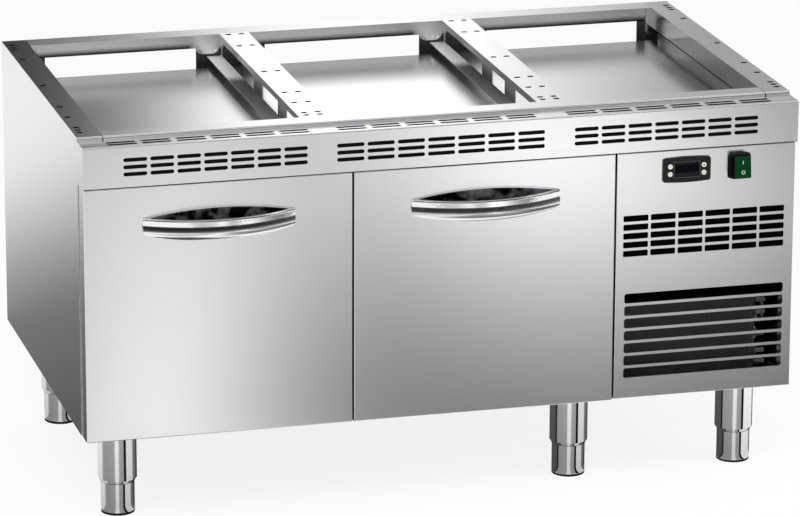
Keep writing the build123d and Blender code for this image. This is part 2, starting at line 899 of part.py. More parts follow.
# Thermostat: bowed bezel with a display recess and button pockets, body behind the panel
bezel_face = front_face - thermostat_bezel
lens_z = thermostat_z + lens_rise
button_places = {
    f"button_{row}_{side}": (thermostat_x + way * button_spread, thermostat_z + rise)
    for row, rise in zip(("upper", "lower"), button_rise)
    for side, way in (("left", -1), ("right", 1))
}
with BuildPart() as thermostat_case:
    half = thermostat_width / 2
    side = thermostat_side / 2
    low_x = thermostat_x - half
    high_x = thermostat_x + half
    low_z = thermostat_z - side
    high_z = thermostat_z + side
    with BuildSketch(facing(front_face)) as bezel:
        with BuildLine():
            ThreePointArc((low_x, high_z), (thermostat_x, high_z + thermostat_bow), (high_x, high_z))
            Line((high_x, high_z), (high_x, low_z))
            ThreePointArc((high_x, low_z), (thermostat_x, low_z - thermostat_bow), (low_x, low_z))
            Line((low_x, low_z), (low_x, high_z))
        make_face()
        fillet(bezel.vertices(), thermostat_radius)
    extrude(amount=thermostat_bezel)
    fillet(thermostat_case.faces().sort_by(Axis.Y)[0].edges(), thermostat_edge)
    block(
        (thermostat_x - thermostat_body[0] / 2, thermostat_x + thermostat_body[0] / 2),
        (front_face, front_face + thermostat_body[2]),
        (thermostat_z - thermostat_body[1] / 2, thermostat_z + thermostat_body[1] / 2),
    )
    block(
        (thermostat_x - lens_size[0] / 2, thermostat_x + lens_size[0] / 2),
        (bezel_face, bezel_face + lens_recess + lens_thickness),
        (lens_z - lens_size[1] / 2, lens_z + lens_size[1] / 2),
        mode=Mode.SUBTRACT,
    )
    with BuildSketch(facing(bezel_face)):
        with Locations(*button_places.values()):
            Circle(button_radius + button_play)
    extrude(amount=-button_pocket, mode=Mode.SUBTRACT)
save(thermostat_case, "thermostat_case")

with BuildPart() as thermostat_lens:
    lens_face = bezel_face + lens_recess
    block(
        (thermostat_x - lens_size[0] / 2, thermostat_x + lens_size[0] / 2),
        (lens_face, lens_face + lens_thickness),
        (lens_z - lens_size[1] / 2, lens_z + lens_size[1] / 2),
    )
save(thermostat_lens, "thermostat_lens")


def button(place):
    with BuildPart() as cap:
        with BuildSketch(facing(bezel_face - button_proud)):
            with Locations(place):
                Circle(button_radius)
        extrude(amount=-button_body)
    return cap


for name, place in button_places.items():
    save(button(place), name)

# Switch: raised boot with a cavity, and a rocker on a pin through the boot
pivot_y = front_face - rocker_pivot
with BuildPart() as switch_boot:
    for size, y in ((boot_base, front_face), (boot_front, front_face - boot_depth)):
        with BuildSketch(facing(y)):
            with Locations((switch_x, switch_z)):
                RectangleRounded(*size, boot_radius)
    loft()
    block(
        (switch_x - boot_cavity[0] / 2, switch_x + boot_cavity[0] / 2),
        (front_face - boot_depth, front_face - boot_floor),
        (switch_z - boot_cavity[1] / 2, switch_z + boot_cavity[1] / 2),
        mode=Mode.SUBTRACT,
    )
    block(
        (switch_x - switch_body[0] / 2, switch_x + switch_body[0] / 2),
        (front_face, front_face + switch_body[2]),
        (switch_z - switch_body[1] / 2, switch_z + switch_body[1] / 2),
    )
    with BuildSketch(Plane.YZ.offset(switch_x - pin_length / 2)):
        with Locations((pivot_y, switch_z)):
            Circle(pin_radius + pin_play)
    extrude(amount=pin_length, mode=Mode.SUBTRACT)
save(switch_boot, "switch_boot")

with BuildPart() as switch_rocker:
    tilted = Plane((switch_x, pivot_y, switch_z), (1, 0, 0), (0, -1, 0)).rotated((rocker_tilt, 0, 0))
    with BuildSketch(tilted.offset(rocker_back - rocker_pivot)):
        RectangleRounded(*rocker_size, rocker_round)
    extrude(amount=rocker_front - rocker_back)
    with BuildSketch(Plane.YZ.offset(switch_x - pin_length / 2)):
        with Locations((pivot_y, switch_z)):
            Circle(pin_radius)
    extrude(amount=pin_length)
save(switch_rocker, "switch_rocker")

# Legs: flanged sleeves under the base panel and feet that slide in them
leg_x = (left + leg_inset, partition_right - mid_leg_offset, right - leg_inset)
leg_y = (front + leg_front, cabinet_back - leg_back)
sleeve_low = base - sleeve_drop
sleeve_bevel = sleeve_low + sleeve_chamfer_height
bore_top = base - sleeve_cap
with BuildPart() as leg_sleeves:
    for x in leg_x:
        for y in leg_y:
            with BuildSketch(Plane.XZ.offset(-y)):
                with BuildLine():
                    Polyline(
                        (x, bore_top),
                        (x + sleeve_bore, bore_top),
                        (x + sleeve_bore, sleeve_low),
                        (x + sleeve_lip, sleeve_low),
                        (x + sleeve_radius, sleeve_bevel),
                        (x + sleeve_radius, base - sleeve_flange),
                        (x + sleeve_flange_radius, base - sleeve_flange),
                        (x + sleeve_flange_radius, base),
                        (x, base),
                        close=True,
                    )
                make_face()
            revolve(axis=Axis((x, y, 0), (0, 0, 1)))
save(leg_sleeves, "leg_sleeves")


def foot(x, y):
    with BuildPart() as leg:
        with BuildSketch(Plane.XZ.offset(-y)):
            with BuildLine():
                Polyline(
                    (x, 0),
                    (x + foot_radius - foot_ring_step, 0),
                    (x + foot_radius - foot_ring_step, foot_ring),
                    (x + foot_radius, foot_ring),
                    (x + foot_radius, foot_length),
                    (x + foot_radius - foot_wall, foot_length),
                    (x + foot_radius - foot_wall, foot_floor),
                    (x, foot_floor),
                    close=True,
                )
            make_face()
        revolve(axis=Axis((x, y, 0), (0, 0, 1)))
    return leg


for row, y in zip(("front", "rear"), leg_y):
    for column, x in zip(("left", "middle", "right"), leg_x):
        save(foot(x, y), f"foot_{row}_{column}")

# Cooling unit on its tray, behind the service panel
tray_x = (partition_right + tray_margin, right - skin - tray_margin)
tray_y = (body_front + tray_front + skin, cabinet_back - skin - tray_back)
tray_top = floor_top + tray_sheet
with BuildPart() as cooling_tray:
    block(tray_x, tray_y, (floor_top, tray_top + tray_lip))
    block(
        (tray_x[0] + tray_sheet, tray_x[1] - tray_sheet),
        (tray_y[0] + tray_sheet, tray_y[1] - tray_sheet),
        (tray_top, tray_top + tray_lip),
        mode=Mode.SUBTRACT,
    )
save(cooling_tray, "cooling_tray")

# Condenser: fin block between end plates, with tube bends at the right end
coil_x = (tray_x[0] + coil_left, tray_x[1] - coil_right)
coil_y = (tray_y[0] + coil_plate_lip + tray_sheet, tray_y[0] + coil_plate_lip + tray_sheet + coil_depth)
coil_z = (tray_top, tray_top + coil_height)
coil_middle = (coil_y[0] + coil_y[1]) / 2
bend_x = coil_x[1] + coil_plate
with BuildPart() as condenser_coil:
    block(coil_x, coil_y, coil_z)
    for low in (coil_x[0] - coil_plate, coil_x[1]):
        block(
            (low, low + coil_plate),
            (coil_y[0] - coil_plate_lip, coil_y[1]),
            (coil_z[0], coil_z[1] + coil_plate_lip),
        )
    bend_step = (coil_height - 2 * bend_margin) / bend_count
    for number in range(bend_count):
        bend_z = coil_z[0] + bend_margin + (number + 0.5) * bend_step
        with BuildSketch(Plane.YZ.offset(bend_x)):
            with Locations((coil_middle, bend_z + bend_radius)):
                Circle(bend_tube)
        revolve(axis=Axis((bend_x, coil_middle, bend_z), (0, 1, 0)), revolution_arc=180)
save(condenser_coil, "condenser_coil")

# Fan shroud behind the condenser, with the motor on a bar across its back
fan_x = (coil_x[0] + coil_x[1]) / 2
fan_z = (coil_z[0] + coil_z[1]) / 2
shroud_y = coil_y[1]
motor_y = shroud_y + shroud_sheet + motor_gap
with BuildPart() as fan_shroud:
    block(coil_x, (shroud_y, shroud_y + shroud_sheet), coil_z)
    with BuildSketch(facing(shroud_y)):
        with Locations((fan_x, fan_z)):
            Circle(fan_bore + shroud_sheet)
    extrude(amount=-(shroud_ring + shroud_sheet))
    with BuildSketch(facing(shroud_y)):
        with Locations((fan_x, fan_z)):
            Circle(fan_bore)
    extrude(amount=-(shroud_ring + shroud_sheet), mode=Mode.SUBTRACT)
    bar_x = (fan_x - motor_bar / 2, fan_x + motor_bar / 2)
    block(bar_x, (motor_y, motor_y + motor_bar_sheet), coil_z)
    for low in (coil_z[0], coil_z[1] - motor_bar_sheet):
        block(bar_x, (shroud_y, motor_y), (low, low + motor_bar_sheet))
    with BuildSketch(facing(motor_y)):
        with Locations((fan_x, fan_z)):
            Circle(motor_radius)
    extrude(amount=-motor_length)
    with BuildSketch(facing(motor_y)):
        with Locations((fan_x, fan_z)):
            Circle(shaft_radius)
    extrude(amount=motor_gap - fan_gap + fan_hub_length / 2)
save(fan_shroud, "fan_shroud")


def fan(plane, reach, shaft):
    """Build a bladed fan with its hub bored for a shaft, on a plane that faces along the shaft."""
    with BuildPart() as rotor:
        with Locations(plane):
            Cylinder(fan_hub_radius, fan_hub_length)
            blade = reach - shaft - fan_sheet
            with PolarLocations(reach - blade / 2, fan_blades):
                Box(blade, fan_chord, fan_sheet, rotation=(fan_pitch, 0, 0))
            Cylinder(shaft + shaft_play, 2 * fan_chord, mode=Mode.SUBTRACT)
    return rotor


fan_y = shroud_y + shroud_sheet + fan_gap
fan_plane = Plane((fan_x, fan_y, fan_z), (1, 0, 0), (0, -1, 0))
save(fan(fan_plane, fan_blade_reach, shaft_radius), "condenser_fan")

# Compressor: domed shell on a plate with four feet, and two flat pipe bosses
compressor_x = partition_right + compressor_left
compressor_y = body_front + compressor_back
plate_z = tray_top + compressor_foot_height
shell_z = plate_z + compressor_plate[2]
boss_z = (shell_z + boss_rise - boss[2] / 2, shell_z + boss_rise + boss[2] / 2)
boss_reach = compressor_radius + boss[1] / 2
with BuildPart() as compressor:
    with BuildSketch(Plane.XY.offset(shell_z)):
        with Locations((compressor_x, compressor_y)):
            Circle(compressor_radius)
    extrude(amount=compressor_height)
    fillet(compressor.faces().sort_by(Axis.Z)[-1].edges(), compressor_dome)
    with BuildSketch(Plane.XY.offset(plate_z)):
        with Locations((compressor_x, compressor_y)):
            Rectangle(compressor_plate[0], compressor_plate[1])
    extrude(amount=compressor_plate[2])
    with BuildSketch(Plane.XY.offset(tray_top)):
        with Locations((compressor_x, compressor_y)):
            foot_x = compressor_plate[0] - 3 * compressor_foot_radius
            foot_y = compressor_plate[1] - 3 * compressor_foot_radius
            with GridLocations(foot_x, foot_y, 2, 2):
                Circle(compressor_foot_radius)
    extrude(amount=compressor_foot_height)
    block(
        (compressor_x - boss[0] / 2, compressor_x + boss[0] / 2),
        (compressor_y - boss_reach, compressor_y + boss_reach),
        boss_z,
    )
save(compressor, "compressor")

# Evaporator: insulated box on the partition, with a motor bar, coil and fan
evaporator_x = (partition_right, partition_right + evaporator_length)
window_mid_y = (window_y[0] + window_y[1]) / 2
window_mid_z = (window_z[0] + window_z[1]) / 2
small_fan_x = partition_right + small_fan_from
small_motor_x = small_fan_x + small_shaft_reach
with BuildPart() as evaporator_box:
    block(
        evaporator_x,
        (window_y[0] - evaporator_wall, window_y[1] + evaporator_wall),
        (window_z[0] - evaporator_wall, window_z[1] + evaporator_wall),
    )
    block(
        (evaporator_x[0], evaporator_x[1] - evaporator_wall), window_y, window_z, mode=Mode.SUBTRACT
    )
    block(
        (small_motor_x, small_motor_x + motor_bar_sheet),
        (window_mid_y - motor_bar / 2, window_mid_y + motor_bar / 2),
        window_z,
    )
    with BuildSketch(Plane.YZ.offset(small_motor_x)):
        with Locations((window_mid_y, window_mid_z)):
            Circle(small_motor_radius)
    extrude(amount=small_motor_length)
    with BuildSketch(Plane.YZ.offset(small_motor_x)):
        with Locations((window_mid_y, window_mid_z)):
            Circle(small_shaft_radius)
    extrude(amount=-(small_shaft_reach + fan_hub_length / 2))
save(evaporator_box, "evaporator_box")

with BuildPart() as evaporator_coil:
    coil_end = evaporator_x[1] - evaporator_wall - evaporator_coil_gap
    block(
        (coil_end - evaporator_coil_size, coil_end),
        (window_y[0] + evaporator_side_gap, window_y[1] - evaporator_side_gap),
        (window_z[0], window_z[1] - evaporator_side_gap),
    )
save(evaporator_coil, "evaporator_coil")

small_fan_plane = Plane((small_fan_x, window_mid_y, window_mid_z), (0, 1, 0), (1, 0, 0))
save(fan(small_fan_plane, small_fan_reach, small_shaft_radius), "evaporator_fan")

# Control box on the right side panel
control_x = (right - skin - control_size[0], right - skin)
control_y = (body_front + control_back, body_front + control_back + control_size[1])
control_z = (deck_under - control_drop - control_size[2], deck_under - control_drop)
with BuildPart() as control_box:
    block(control_x, control_y, control_z)
    fillet(control_box.edges().filter_by(Axis.Z), edge_radius)
save(control_box, "control_box")

# Pipes: compressor to condenser, condenser by the drier to the evaporator, evaporator to compressor
boss_mid = (boss_z[0] + boss_z[1]) / 2
pipe_x = bend_x + bend_radius + pipe_side
hot_y = motor_y + motor_length + pipe_bend
hot_z = coil_z[1] - 2 * pipe_radius
cold_z = tray_top + pipe_rise + drier_radius
drier_y = compressor_y - drier_length / 2
suction_y = compressor_y + boss_reach + suction_run
evaporator_low = window_z[0] - evaporator_wall
routes = (
    (
        (compressor_x, compressor_y - boss_reach, boss_mid),
        (compressor_x, hot_y, boss_mid),
        (pipe_x, hot_y, boss_mid),
        (pipe_x, coil_middle, boss_mid),
        (pipe_x, coil_middle, hot_z),
        (bend_x, coil_middle, hot_z),
    ),
    (
        (bend_x, coil_middle, cold_z),
        (pipe_x, coil_middle, cold_z),
        (pipe_x, drier_y, cold_z),
    ),
    (
        (pipe_x, drier_y + drier_length, cold_z),
        (pipe_x, window_mid_y, cold_z),
        (pipe_x, window_mid_y, window_mid_z),
        (evaporator_x[1], window_mid_y, window_mid_z),
    ),
    (
        (compressor_x, suction_y, evaporator_low),
        (compressor_x, suction_y, boss_mid),
        (compressor_x, compressor_y + boss_reach, boss_mid),
    ),
)
with BuildPart() as refrigerant_pipes:
    for points in routes:
        with BuildLine() as route:
            FilletPolyline(*points, radius=pipe_bend)
        with BuildSketch(Plane(points[0], z_dir=Vector(points[1]) - Vector(points[0]))):
            Circle(pipe_radius)
        sweep(path=route.wire())
    with BuildSketch(facing(drier_y)):
        with Locations((pipe_x, cold_z)):
            Circle(drier_radius)
    extrude(amount=-drier_length)
save(refrigerant_pipes, "refrigerant_pipes")

# Mains gland through the back panel
with BuildPart() as mains_gland:
    with BuildSketch(facing(cabinet_back)):
        with Locations((gland_x, gland_z)):
            Circle(gland_neck)
    extrude(amount=skin + gland_inside)
    with BuildSketch(facing(cabinet_back)):
        with Locations((gland_x, gland_z)):
            RegularPolygon(gland_hex, 6)
    extrude(amount=-gland_hex_length)
    with BuildSketch(facing(cabinet_back + gland_hex_length)):
        with Locations((gland_x, gland_z)):
            Circle(gland_dome)
    extrude(amount=-gland_dome_length)
    with BuildSketch(facing(cabinet_back + gland_hex_length + gland_dome_length)):
        with Locations((gland_x, gland_z)):
            Circle(gland_bore)
    extrude(
        amount=gland_hex_length + gland_dome_length + skin + gland_inside, mode=Mode.SUBTRACT
    )
save(mains_gland, "mains_gland")
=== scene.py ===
"""Dress the refrigerated drawer counter and set it in a plain studio."""

import logging
import math
from contextlib import contextmanager
from dataclasses import dataclass, field
from enum import Enum
from typing import Any, Callable, Iterator, Optional, Sequence, Union

import bmesh
import bpy
from bpy.types import Material, Node, NodeSocket, NodeTree, Object
from mathutils import Matrix, Vector


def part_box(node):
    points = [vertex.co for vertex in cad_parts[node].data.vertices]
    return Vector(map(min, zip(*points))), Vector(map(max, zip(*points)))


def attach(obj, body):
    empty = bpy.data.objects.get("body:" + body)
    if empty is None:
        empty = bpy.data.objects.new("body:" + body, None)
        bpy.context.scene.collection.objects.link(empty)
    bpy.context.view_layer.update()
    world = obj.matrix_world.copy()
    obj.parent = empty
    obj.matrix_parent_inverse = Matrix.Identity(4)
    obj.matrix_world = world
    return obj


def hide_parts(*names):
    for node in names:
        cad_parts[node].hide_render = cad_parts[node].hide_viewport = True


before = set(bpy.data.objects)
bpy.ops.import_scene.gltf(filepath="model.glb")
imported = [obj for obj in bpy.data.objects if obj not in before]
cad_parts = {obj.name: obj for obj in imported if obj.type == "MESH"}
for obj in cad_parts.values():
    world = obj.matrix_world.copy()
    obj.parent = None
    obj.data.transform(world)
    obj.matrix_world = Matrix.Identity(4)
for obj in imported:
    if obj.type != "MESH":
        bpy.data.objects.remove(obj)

log = logging.getLogger("drawer_counter")

MM = 0.001
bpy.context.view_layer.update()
SIDES = ("left", "right")
FACING = 0.9  # least share of a face's normal along the way that it is said to face
HAIR = 0.02 * MM  # faces nearer than this are level with each other
CAMERA_YAW = 15.126  # degrees that the photograph's camera looks to the right

Colour = tuple[float, float, float, float]
Span = tuple[float, float]
FaceTest = Callable[[Vector, Vector], bool]  # takes a face's centre and normal
UNIT: Span = (0.0, 1.0)
WHITE: Colour = (1.0, 1.0, 1.0, 1.0)


class Axis(Enum):
    """A direction of the shared frame."""

    X = 0
    Y = 1
    Z = 2

    @property
    def vector(self) -> Vector:
        """Give the unit vector along the axis."""
        return Vector([float(number == self.value) for number in range(3)])


class Slot(Enum):
    """The record's material slots."""

    SATIN_STEEL = "satin_steel"
    LEG_CHROME = "leg_chrome"
    BLACK_PLASTIC = "black_plastic"
    BLACK_MATTE_PLASTIC = "black_matte_plastic"
    BUTTON_PLASTIC = "button_plastic"
    DISPLAY_LENS = "display_lens"
    FIN_ALUMINIUM = "fin_aluminium"
    GALVANISED_STEEL = "galvanised_steel"
    GASKET_RUBBER = "gasket_rubber"


def linear(code: str) -> Colour:
    """Turn an sRGB hex colour into linear light.

    Args:
        code: six hex digits.

    Returns:
        Red, green, blue and a full alpha.
    """
    parts = [int(code[place : place + 2], 16) / 255 for place in (0, 2, 4)]
    return (*[p / 12.92 if p <= 0.04045 else ((p + 0.055) / 1.055) ** 2.4 for p in parts], 1.0)


def plug(tree: NodeTree, node: Node, inputs: dict[Union[str, int], Any]) -> None:
    """Set a node's inputs.

    Args:
        tree: the node's tree.
        node: the node.
        inputs: plain values, or output sockets to link, by input name or number.
    """
    for key, value in inputs.items():
        if isinstance(value, NodeSocket):
            tree.links.new(value, node.inputs[key])
        else:
            node.inputs[key].default_value = value


def add_node(
    tree: NodeTree, kind: str, inputs: Optional[dict[Union[str, int], Any]] = None, **settings: Any
) -> Node:
    """Add one shader node with its settings and links.

    Args:
        tree: the tree that takes the node.
        kind: the node's type without its ShaderNode prefix.
        inputs: what its inputs take, as plug has it.
        settings: the node's own properties.

    Returns:
        The new node.
    """
    node = tree.nodes.new(f"ShaderNode{kind}")
    for name, value in settings.items():
        setattr(node, name, value)
    plug(tree, node, inputs or {})
    return node


def remap(
    tree: NodeTree, value: NodeSocket, source: Span, target: Span = UNIT, smooth: bool = False
) -> NodeSocket:
    """Carry a value from one range to another and hold it there.

    Args:
        tree: the tree that takes the node.
        value: the value's socket.
        source: the range that it comes from.
        target: the range that it goes to.
        smooth: whether it eases at both ends.

    Returns:
        The new value's socket.
    """
    ends = {"From Min": source[0], "From Max": source[1], "To Min": target[0], "To Max": target[1]}
    kind = "SMOOTHSTEP" if smooth else "LINEAR"
    return add_node(tree, "MapRange", {"Value": value, **ends}, interpolation_type=kind).outputs[0]


def maths(tree: NodeTree, operation: str, *values: Union[NodeSocket, float]) -> NodeSocket:
    """Work out one value from others.

    Args:
        tree: the tree that takes the node.
        operation: what is done with them.
        values: sockets or plain numbers, in order.

    Returns:
        The result's socket.
    """
    return add_node(tree, "Math", dict(enumerate(values)), operation=operation).outputs[0]


def spot_on(tree: NodeTree) -> NodeSocket:
    """Give the shaded spot in the object's own coordinates."""
    return add_node(tree, "TexCoord").outputs["Object"]


def spot_axes(tree: NodeTree) -> Any:
    """Give the shaded spot's sockets X, Y and Z in the object's own coordinates."""
    return add_node(tree, "SeparateXYZ", {"Vector": spot_on(tree)}).outputs


def blank_material(name: str) -> Material:
    """Make a material that has no nodes yet.

    Args:
        name: what it is called.

    Returns:
        The material.
    """
    made = bpy.data.materials.new(name)
    made.use_nodes = True
    made.node_tree.nodes.clear()
    return made


@dataclass(frozen=True)
class Finish:
    """A surface finish that makes one procedural material, some with painted shade or painted
    reflections in their colour.
    """

    name: str
    colour: str
    roughness: float

    def material(self) -> Material:
        """Give the finish's material, made on first use."""
        return bpy.data.materials.get(self.name) or self._make()

    def _make(self) -> Material:
        """Make the material and let the finish fill its nodes.

        Returns:
            The material.
        """
        made = blank_material(self.name)
        tree = made.node_tree
        plain = {"Base Color": linear(self.colour), "Roughness": self.roughness}
        surface = add_node(tree, "BsdfPrincipled", plain)
        add_node(tree, "OutputMaterial", {"Surface": surface.outputs["BSDF"]})
        self.shade(tree, surface)
        return made

    def shade(self, tree: NodeTree, surface: Node) -> None:
        """Add the finish's own pattern to its surface shader.

        Args:
            tree: the material's nodes.
            surface: the principled shader to feed.
        """
        raise NotImplementedError

    def around(self, swing: float) -> Span:
        """Give the limits of a roughness that swings about the finish's own."""
        return (self.roughness - swing, self.roughness + swing)

    def spread(self, tree: NodeTree, scale_mm: Sequence[float], limits: Span) -> NodeSocket:
        """Make a noise of a real size, spread between two limits.

        Args:
            tree: the material's nodes.
            scale_mm: the pattern's size along X, Y and Z.
            limits: the values at the noise's low and high ends.

        Returns:
            The value socket.
        """
        per_metre = [1.0 / (size * MM) for size in scale_mm]
        mapped = add_node(tree, "Mapping", {"Vector": spot_on(tree), "Scale": per_metre}).outputs[0]
        octaves, usual = 2.0, (0.25, 0.75)  # the latter is where nearly all of a noise lies
        noise = add_node(tree, "TexNoise", {"Vector": mapped, "Scale": 1.0, "Detail": octaves})
        return remap(tree, noise.outputs["Fac"], usual, limits)

    def tint(self, tree: NodeTree, amount: NodeSocket, other: str) -> NodeSocket:
        """Mix the finish's colour with another by an amount.

        Args:
            tree: the material's nodes.
            amount: socket that runs from 0 to 1.
            other: the second colour as hex.

        Returns:
            The colour socket.
        """
        ramp = add_node(tree, "ValToRGB", {"Fac": amount})
        ramp.color_ramp.elements[0].color = linear(self.colour)
        ramp.color_ramp.elements[1].color = linear(other)
        return ramp.outputs["Color"]

    def relief(
        self, tree: NodeTree, height: NodeSocket, strength: float, depth_mm: float
    ) -> NodeSocket:
        """Raise a pattern on the surface.

        Args:
            tree: the material's nodes.
            height: the pattern.
            strength: how much of it shows.
            depth_mm: how deep it is.

        Returns:
            The normal's socket.
        """
        shape = {"Height": height, "Strength": strength, "Distance": depth_mm * MM}
        return add_node(tree, "Bump", shape).outputs["Normal"]


@dataclass(frozen=True)
class BrushedSteel(Finish):
    """Stainless sheet ground with a belt: fine lines along the grain and wide soft reflections."""

    grain: Axis = Axis.X
    line_mm: float = 0.7  # drawn coarser than the real 0.1 mm so that it shows close up
    run_mm: float = 120.0
    depth_mm: float = 0.001
    score: float = 0.06
    swing: float = 0.012

    def shade(self, tree: NodeTree, surface: Node) -> None:
        """Vary the gloss along the grain and score it lightly.

        Args:
            tree: the material's nodes.
            surface: the principled shader to feed.
        """
        size = [self.line_mm] * 3
        size[self.grain.value] = self.run_mm
        lines = self.spread(tree, size, self.around(self.swing))
        scored = self.relief(tree, lines, self.score, self.depth_mm)
        plug(tree, surface, {"Metallic": 1.0, "Roughness": lines, "Normal": scored})


@dataclass(frozen=True)
class EdgeShadedSteel(BrushedSteel):
    """Brushed sheet with painted shade towards an edge: its colour darkens there for the dark that it
    mirrors beyond the edge.
    """

    # the colour of the painted shade at the edge
    shadow: str = "161617"
    edge: float = 0.0
    hem: float = 13.0 * MM  # how far from the edge the dark fades; below 0, against the way
    lip: float = 0.8 * MM  # how soon it ends on the edge's other side
    ears: Sequence[float] = ()  # places along X where the sheet runs on down, unrolled
    ear_half: float = 22.0 * MM
    ear_end: float = 35.2 * MM  # where the dark is whole again
    way: Axis = Axis.Z  # the way in which the dark fades

    def shade(self, tree: NodeTree, surface: Node) -> None:
        """Brush the sheet and paint shade into its colour towards its edge, but not at the ears.

        Args:
            tree: the material's nodes.
            surface: the principled shader to feed.
        """
        super().shade(tree, surface)
        spot = spot_axes(tree)
        place = spot[self.way.name]
        beyond = self.edge - math.copysign(self.lip, self.hem)
        inside = remap(tree, place, (self.edge + self.hem, self.edge), smooth=True)
        outside = remap(tree, place, (beyond, self.edge), smooth=True)
        # how much painted shade each spot takes
        depth = maths(tree, "MULTIPLY", inside, outside)
        for ear in self.ears:
            away = maths(tree, "ABSOLUTE", maths(tree, "SUBTRACT", spot["X"], ear))
            clear = remap(tree, away, (self.ear_half, self.ear_end), smooth=True)
            depth = maths(tree, "MULTIPLY", depth, clear)
        plug(tree, surface, {"Base Color": self.tint(tree, depth, self.shadow)})


@dataclass(frozen=True)
class BrightPlate(Finish):
    """Chrome, bright screws or drawn tube: a clear mirror with faint polishing haze."""

    haze_mm: float = 14.0
    drift: float = 0.3  # share of the roughness

    def shade(self, tree: NodeTree, surface: Node) -> None:
        """Let the gloss drift a little over the plate.

        Args:
            tree: the material's nodes.
            surface: the principled shader to feed.
        """
        haze = self.spread(tree, [self.haze_mm] * 3, self.around(self.drift * self.roughness))
        plug(tree, surface, {"Metallic": 1.0, "Roughness": haze})


@dataclass(frozen=True)
class PatchyMetal(Finish):
    """A dull metal skin of small patches, as hot-dipped zinc, phosphate or bead blasting leaves."""

    other: str = "8F9497"
    patch_mm: float = 11.0
    swing: float = 0.07

    def shade(self, tree: NodeTree, surface: Node) -> None:
        """Colour each patch and vary its gloss.

        Args:
            tree: the material's nodes.
            surface: the principled shader to feed.
        """
        cells = {"Vector": spot_on(tree), "Scale": 1.0 / (self.patch_mm * MM)}
        patch = add_node(tree, "TexVoronoi", cells).outputs["Color"]
        level = add_node(tree, "SeparateColor", {"Color": patch}).outputs[0]
        colour = self.tint(tree, level, self.other)
        gloss = remap(tree, level, UNIT, self.around(self.swing))
        plug(tree, surface, {"Metallic": 1.0, "Base Color": colour, "Roughness": gloss})


@dataclass(frozen=True)
class Moulding(Finish):
    """Injection-moulded plastic or rubber: an even colour with the mould's fine texture."""

    other: str = "141416"
    texture_mm: float = 0.9
    depth_mm: float = 0.03
    score: float = 0.3
    swing: float = 0.06
    shine: float = 0.5
    cloud: Span = UNIT  # wider limits part the two colours

    def shade(self, tree: NodeTree, surface: Node) -> None:
        """Speckle the colour, the gloss and the height by the mould texture.

        Args:
            tree: the material's nodes.
            surface: the principled shader to feed.
        """
        speck = self.spread(tree, [self.texture_mm] * 3, self.cloud)
        inputs = {
            "Specular IOR Level": self.shine,
            "Base Color": self.tint(tree, speck, self.other),
            "Roughness": remap(tree, speck, UNIT, self.around(self.swing)),
            "Normal": self.relief(tree, speck, self.score, self.depth_mm),
        }
        plug(tree, surface, inputs)


# Satin stainless sheet: near white, with soft mirror images that blur with distance
SATIN_ALONG = BrushedSteel("satin_stainless_brushed_along", "F0F0F1", 0.22)
SATIN_DEEP = BrushedSteel("satin_stainless_brushed_deep", "F0F0F1", 0.22, grain=Axis.Y)
SATIN_RAIL = BrushedSteel("satin_stainless_rail", "F0F0F1", 0.17, grain=Axis.Y)
SATIN_REAR = BrushedSteel("satin_stainless_rear_rail", "F0F0F1", 0.26)
# The handles: clearer images, and a grey band of painted shade below the rim, where it rolls under
SATIN_HANDLE = EdgeShadedSteel(
    "handle_stainless_painted_shade",
    "F2F2F3",
    0.13,
    run_mm=60.0,
    shadow="58585A",
    edge=509.6 * MM,  # the lower edge of the handles' rims
    hem=-13.0 * MM,
)
# The deck: a clear mirror with a livelier grain than the satin sheets
POLISHED_DECK = BrushedSteel("polished_stainless_deck", "F0F0F1", 0.19, swing=0.015)
# Painted shade: stainless painted greyer than the ground faces beside it, for the dark that these
# faces mirror
SHADED_WEB = BrushedSteel("web_stainless_painted_shade", "8E8E90", 0.28, grain=Axis.Y)
SHADED_FLANGE = BrushedSteel("flange_stainless_painted_shade", "AFAFB1", 0.2, grain=Axis.Y)
# Bead-blasted stainless: matt and pale, so that an open box keeps its corners
BLASTED = PatchyMetal("bead_blasted_stainless", "D4D5D7", 0.66, other="CDCED0", patch_mm=2.0)
# The cross rails' feet: matt, with painted shade that makes them dark in front and pale towards the
# back
PAINTED_SHADE_FOOT = EdgeShadedSteel(
    "bead_blasted_foot",
    "F0F0F1",
    0.62,
    shadow="636365",
    edge=137.0 * MM,  # where the dark front part starts to fade
    hem=50.0 * MM,
    lip=1000.0 * MM,
    way=Axis.Y,
)
# The slots' walls: painted shade, a near-black line round each slot for the dark inside it
SLOT_SHADE = Moulding("slot_wall_painted_shade", "0B0B0C", 0.6, other="101011", shine=0.05)
# Plated and bare metals: sharp chrome, soft bright screws, patchy zinc, dull fins and grey tube
CHROME = BrightPlate("chrome_plated_tube", "F4F4F5", 0.035)
BRIGHT_SCREW = BrightPlate("bright_zinc_screw", "F6F7F8", 0.42)
ZINC = PatchyMetal("galvanised_sheet", "B9BDC0", 0.38)
# The rear brackets: a dark grey patchy coat, darker than bare steel
DARK_BRACKET_COAT = PatchyMetal("dark_grey_bracket_coat", "545456", 0.5, other="464648", patch_mm=4.0)
COATED_FIN = BrushedSteel("grey_coated_fin", "606164", 0.5, grain=Axis.Z, line_mm=1.6)
BARE_FIN = BrushedSteel("bare_aluminium_fin", "C9CBCE", 0.34, grain=Axis.Z, line_mm=1.6)
TUBE = BrightPlate("bundy_steel_tube", "8A8C8F", 0.3)
# The cups' deep drawn walls: black with painted reflections, cloudy grey patches in the colour
CUP_BLACK_REFLECTIONS = Moulding(
    "black_abs_painted_reflections",
    "040405",
    0.12,
    other="5A5A5E",
    texture_mm=30.0,
    depth_mm=0.0,
    cloud=(-1.3, 1.5),
)
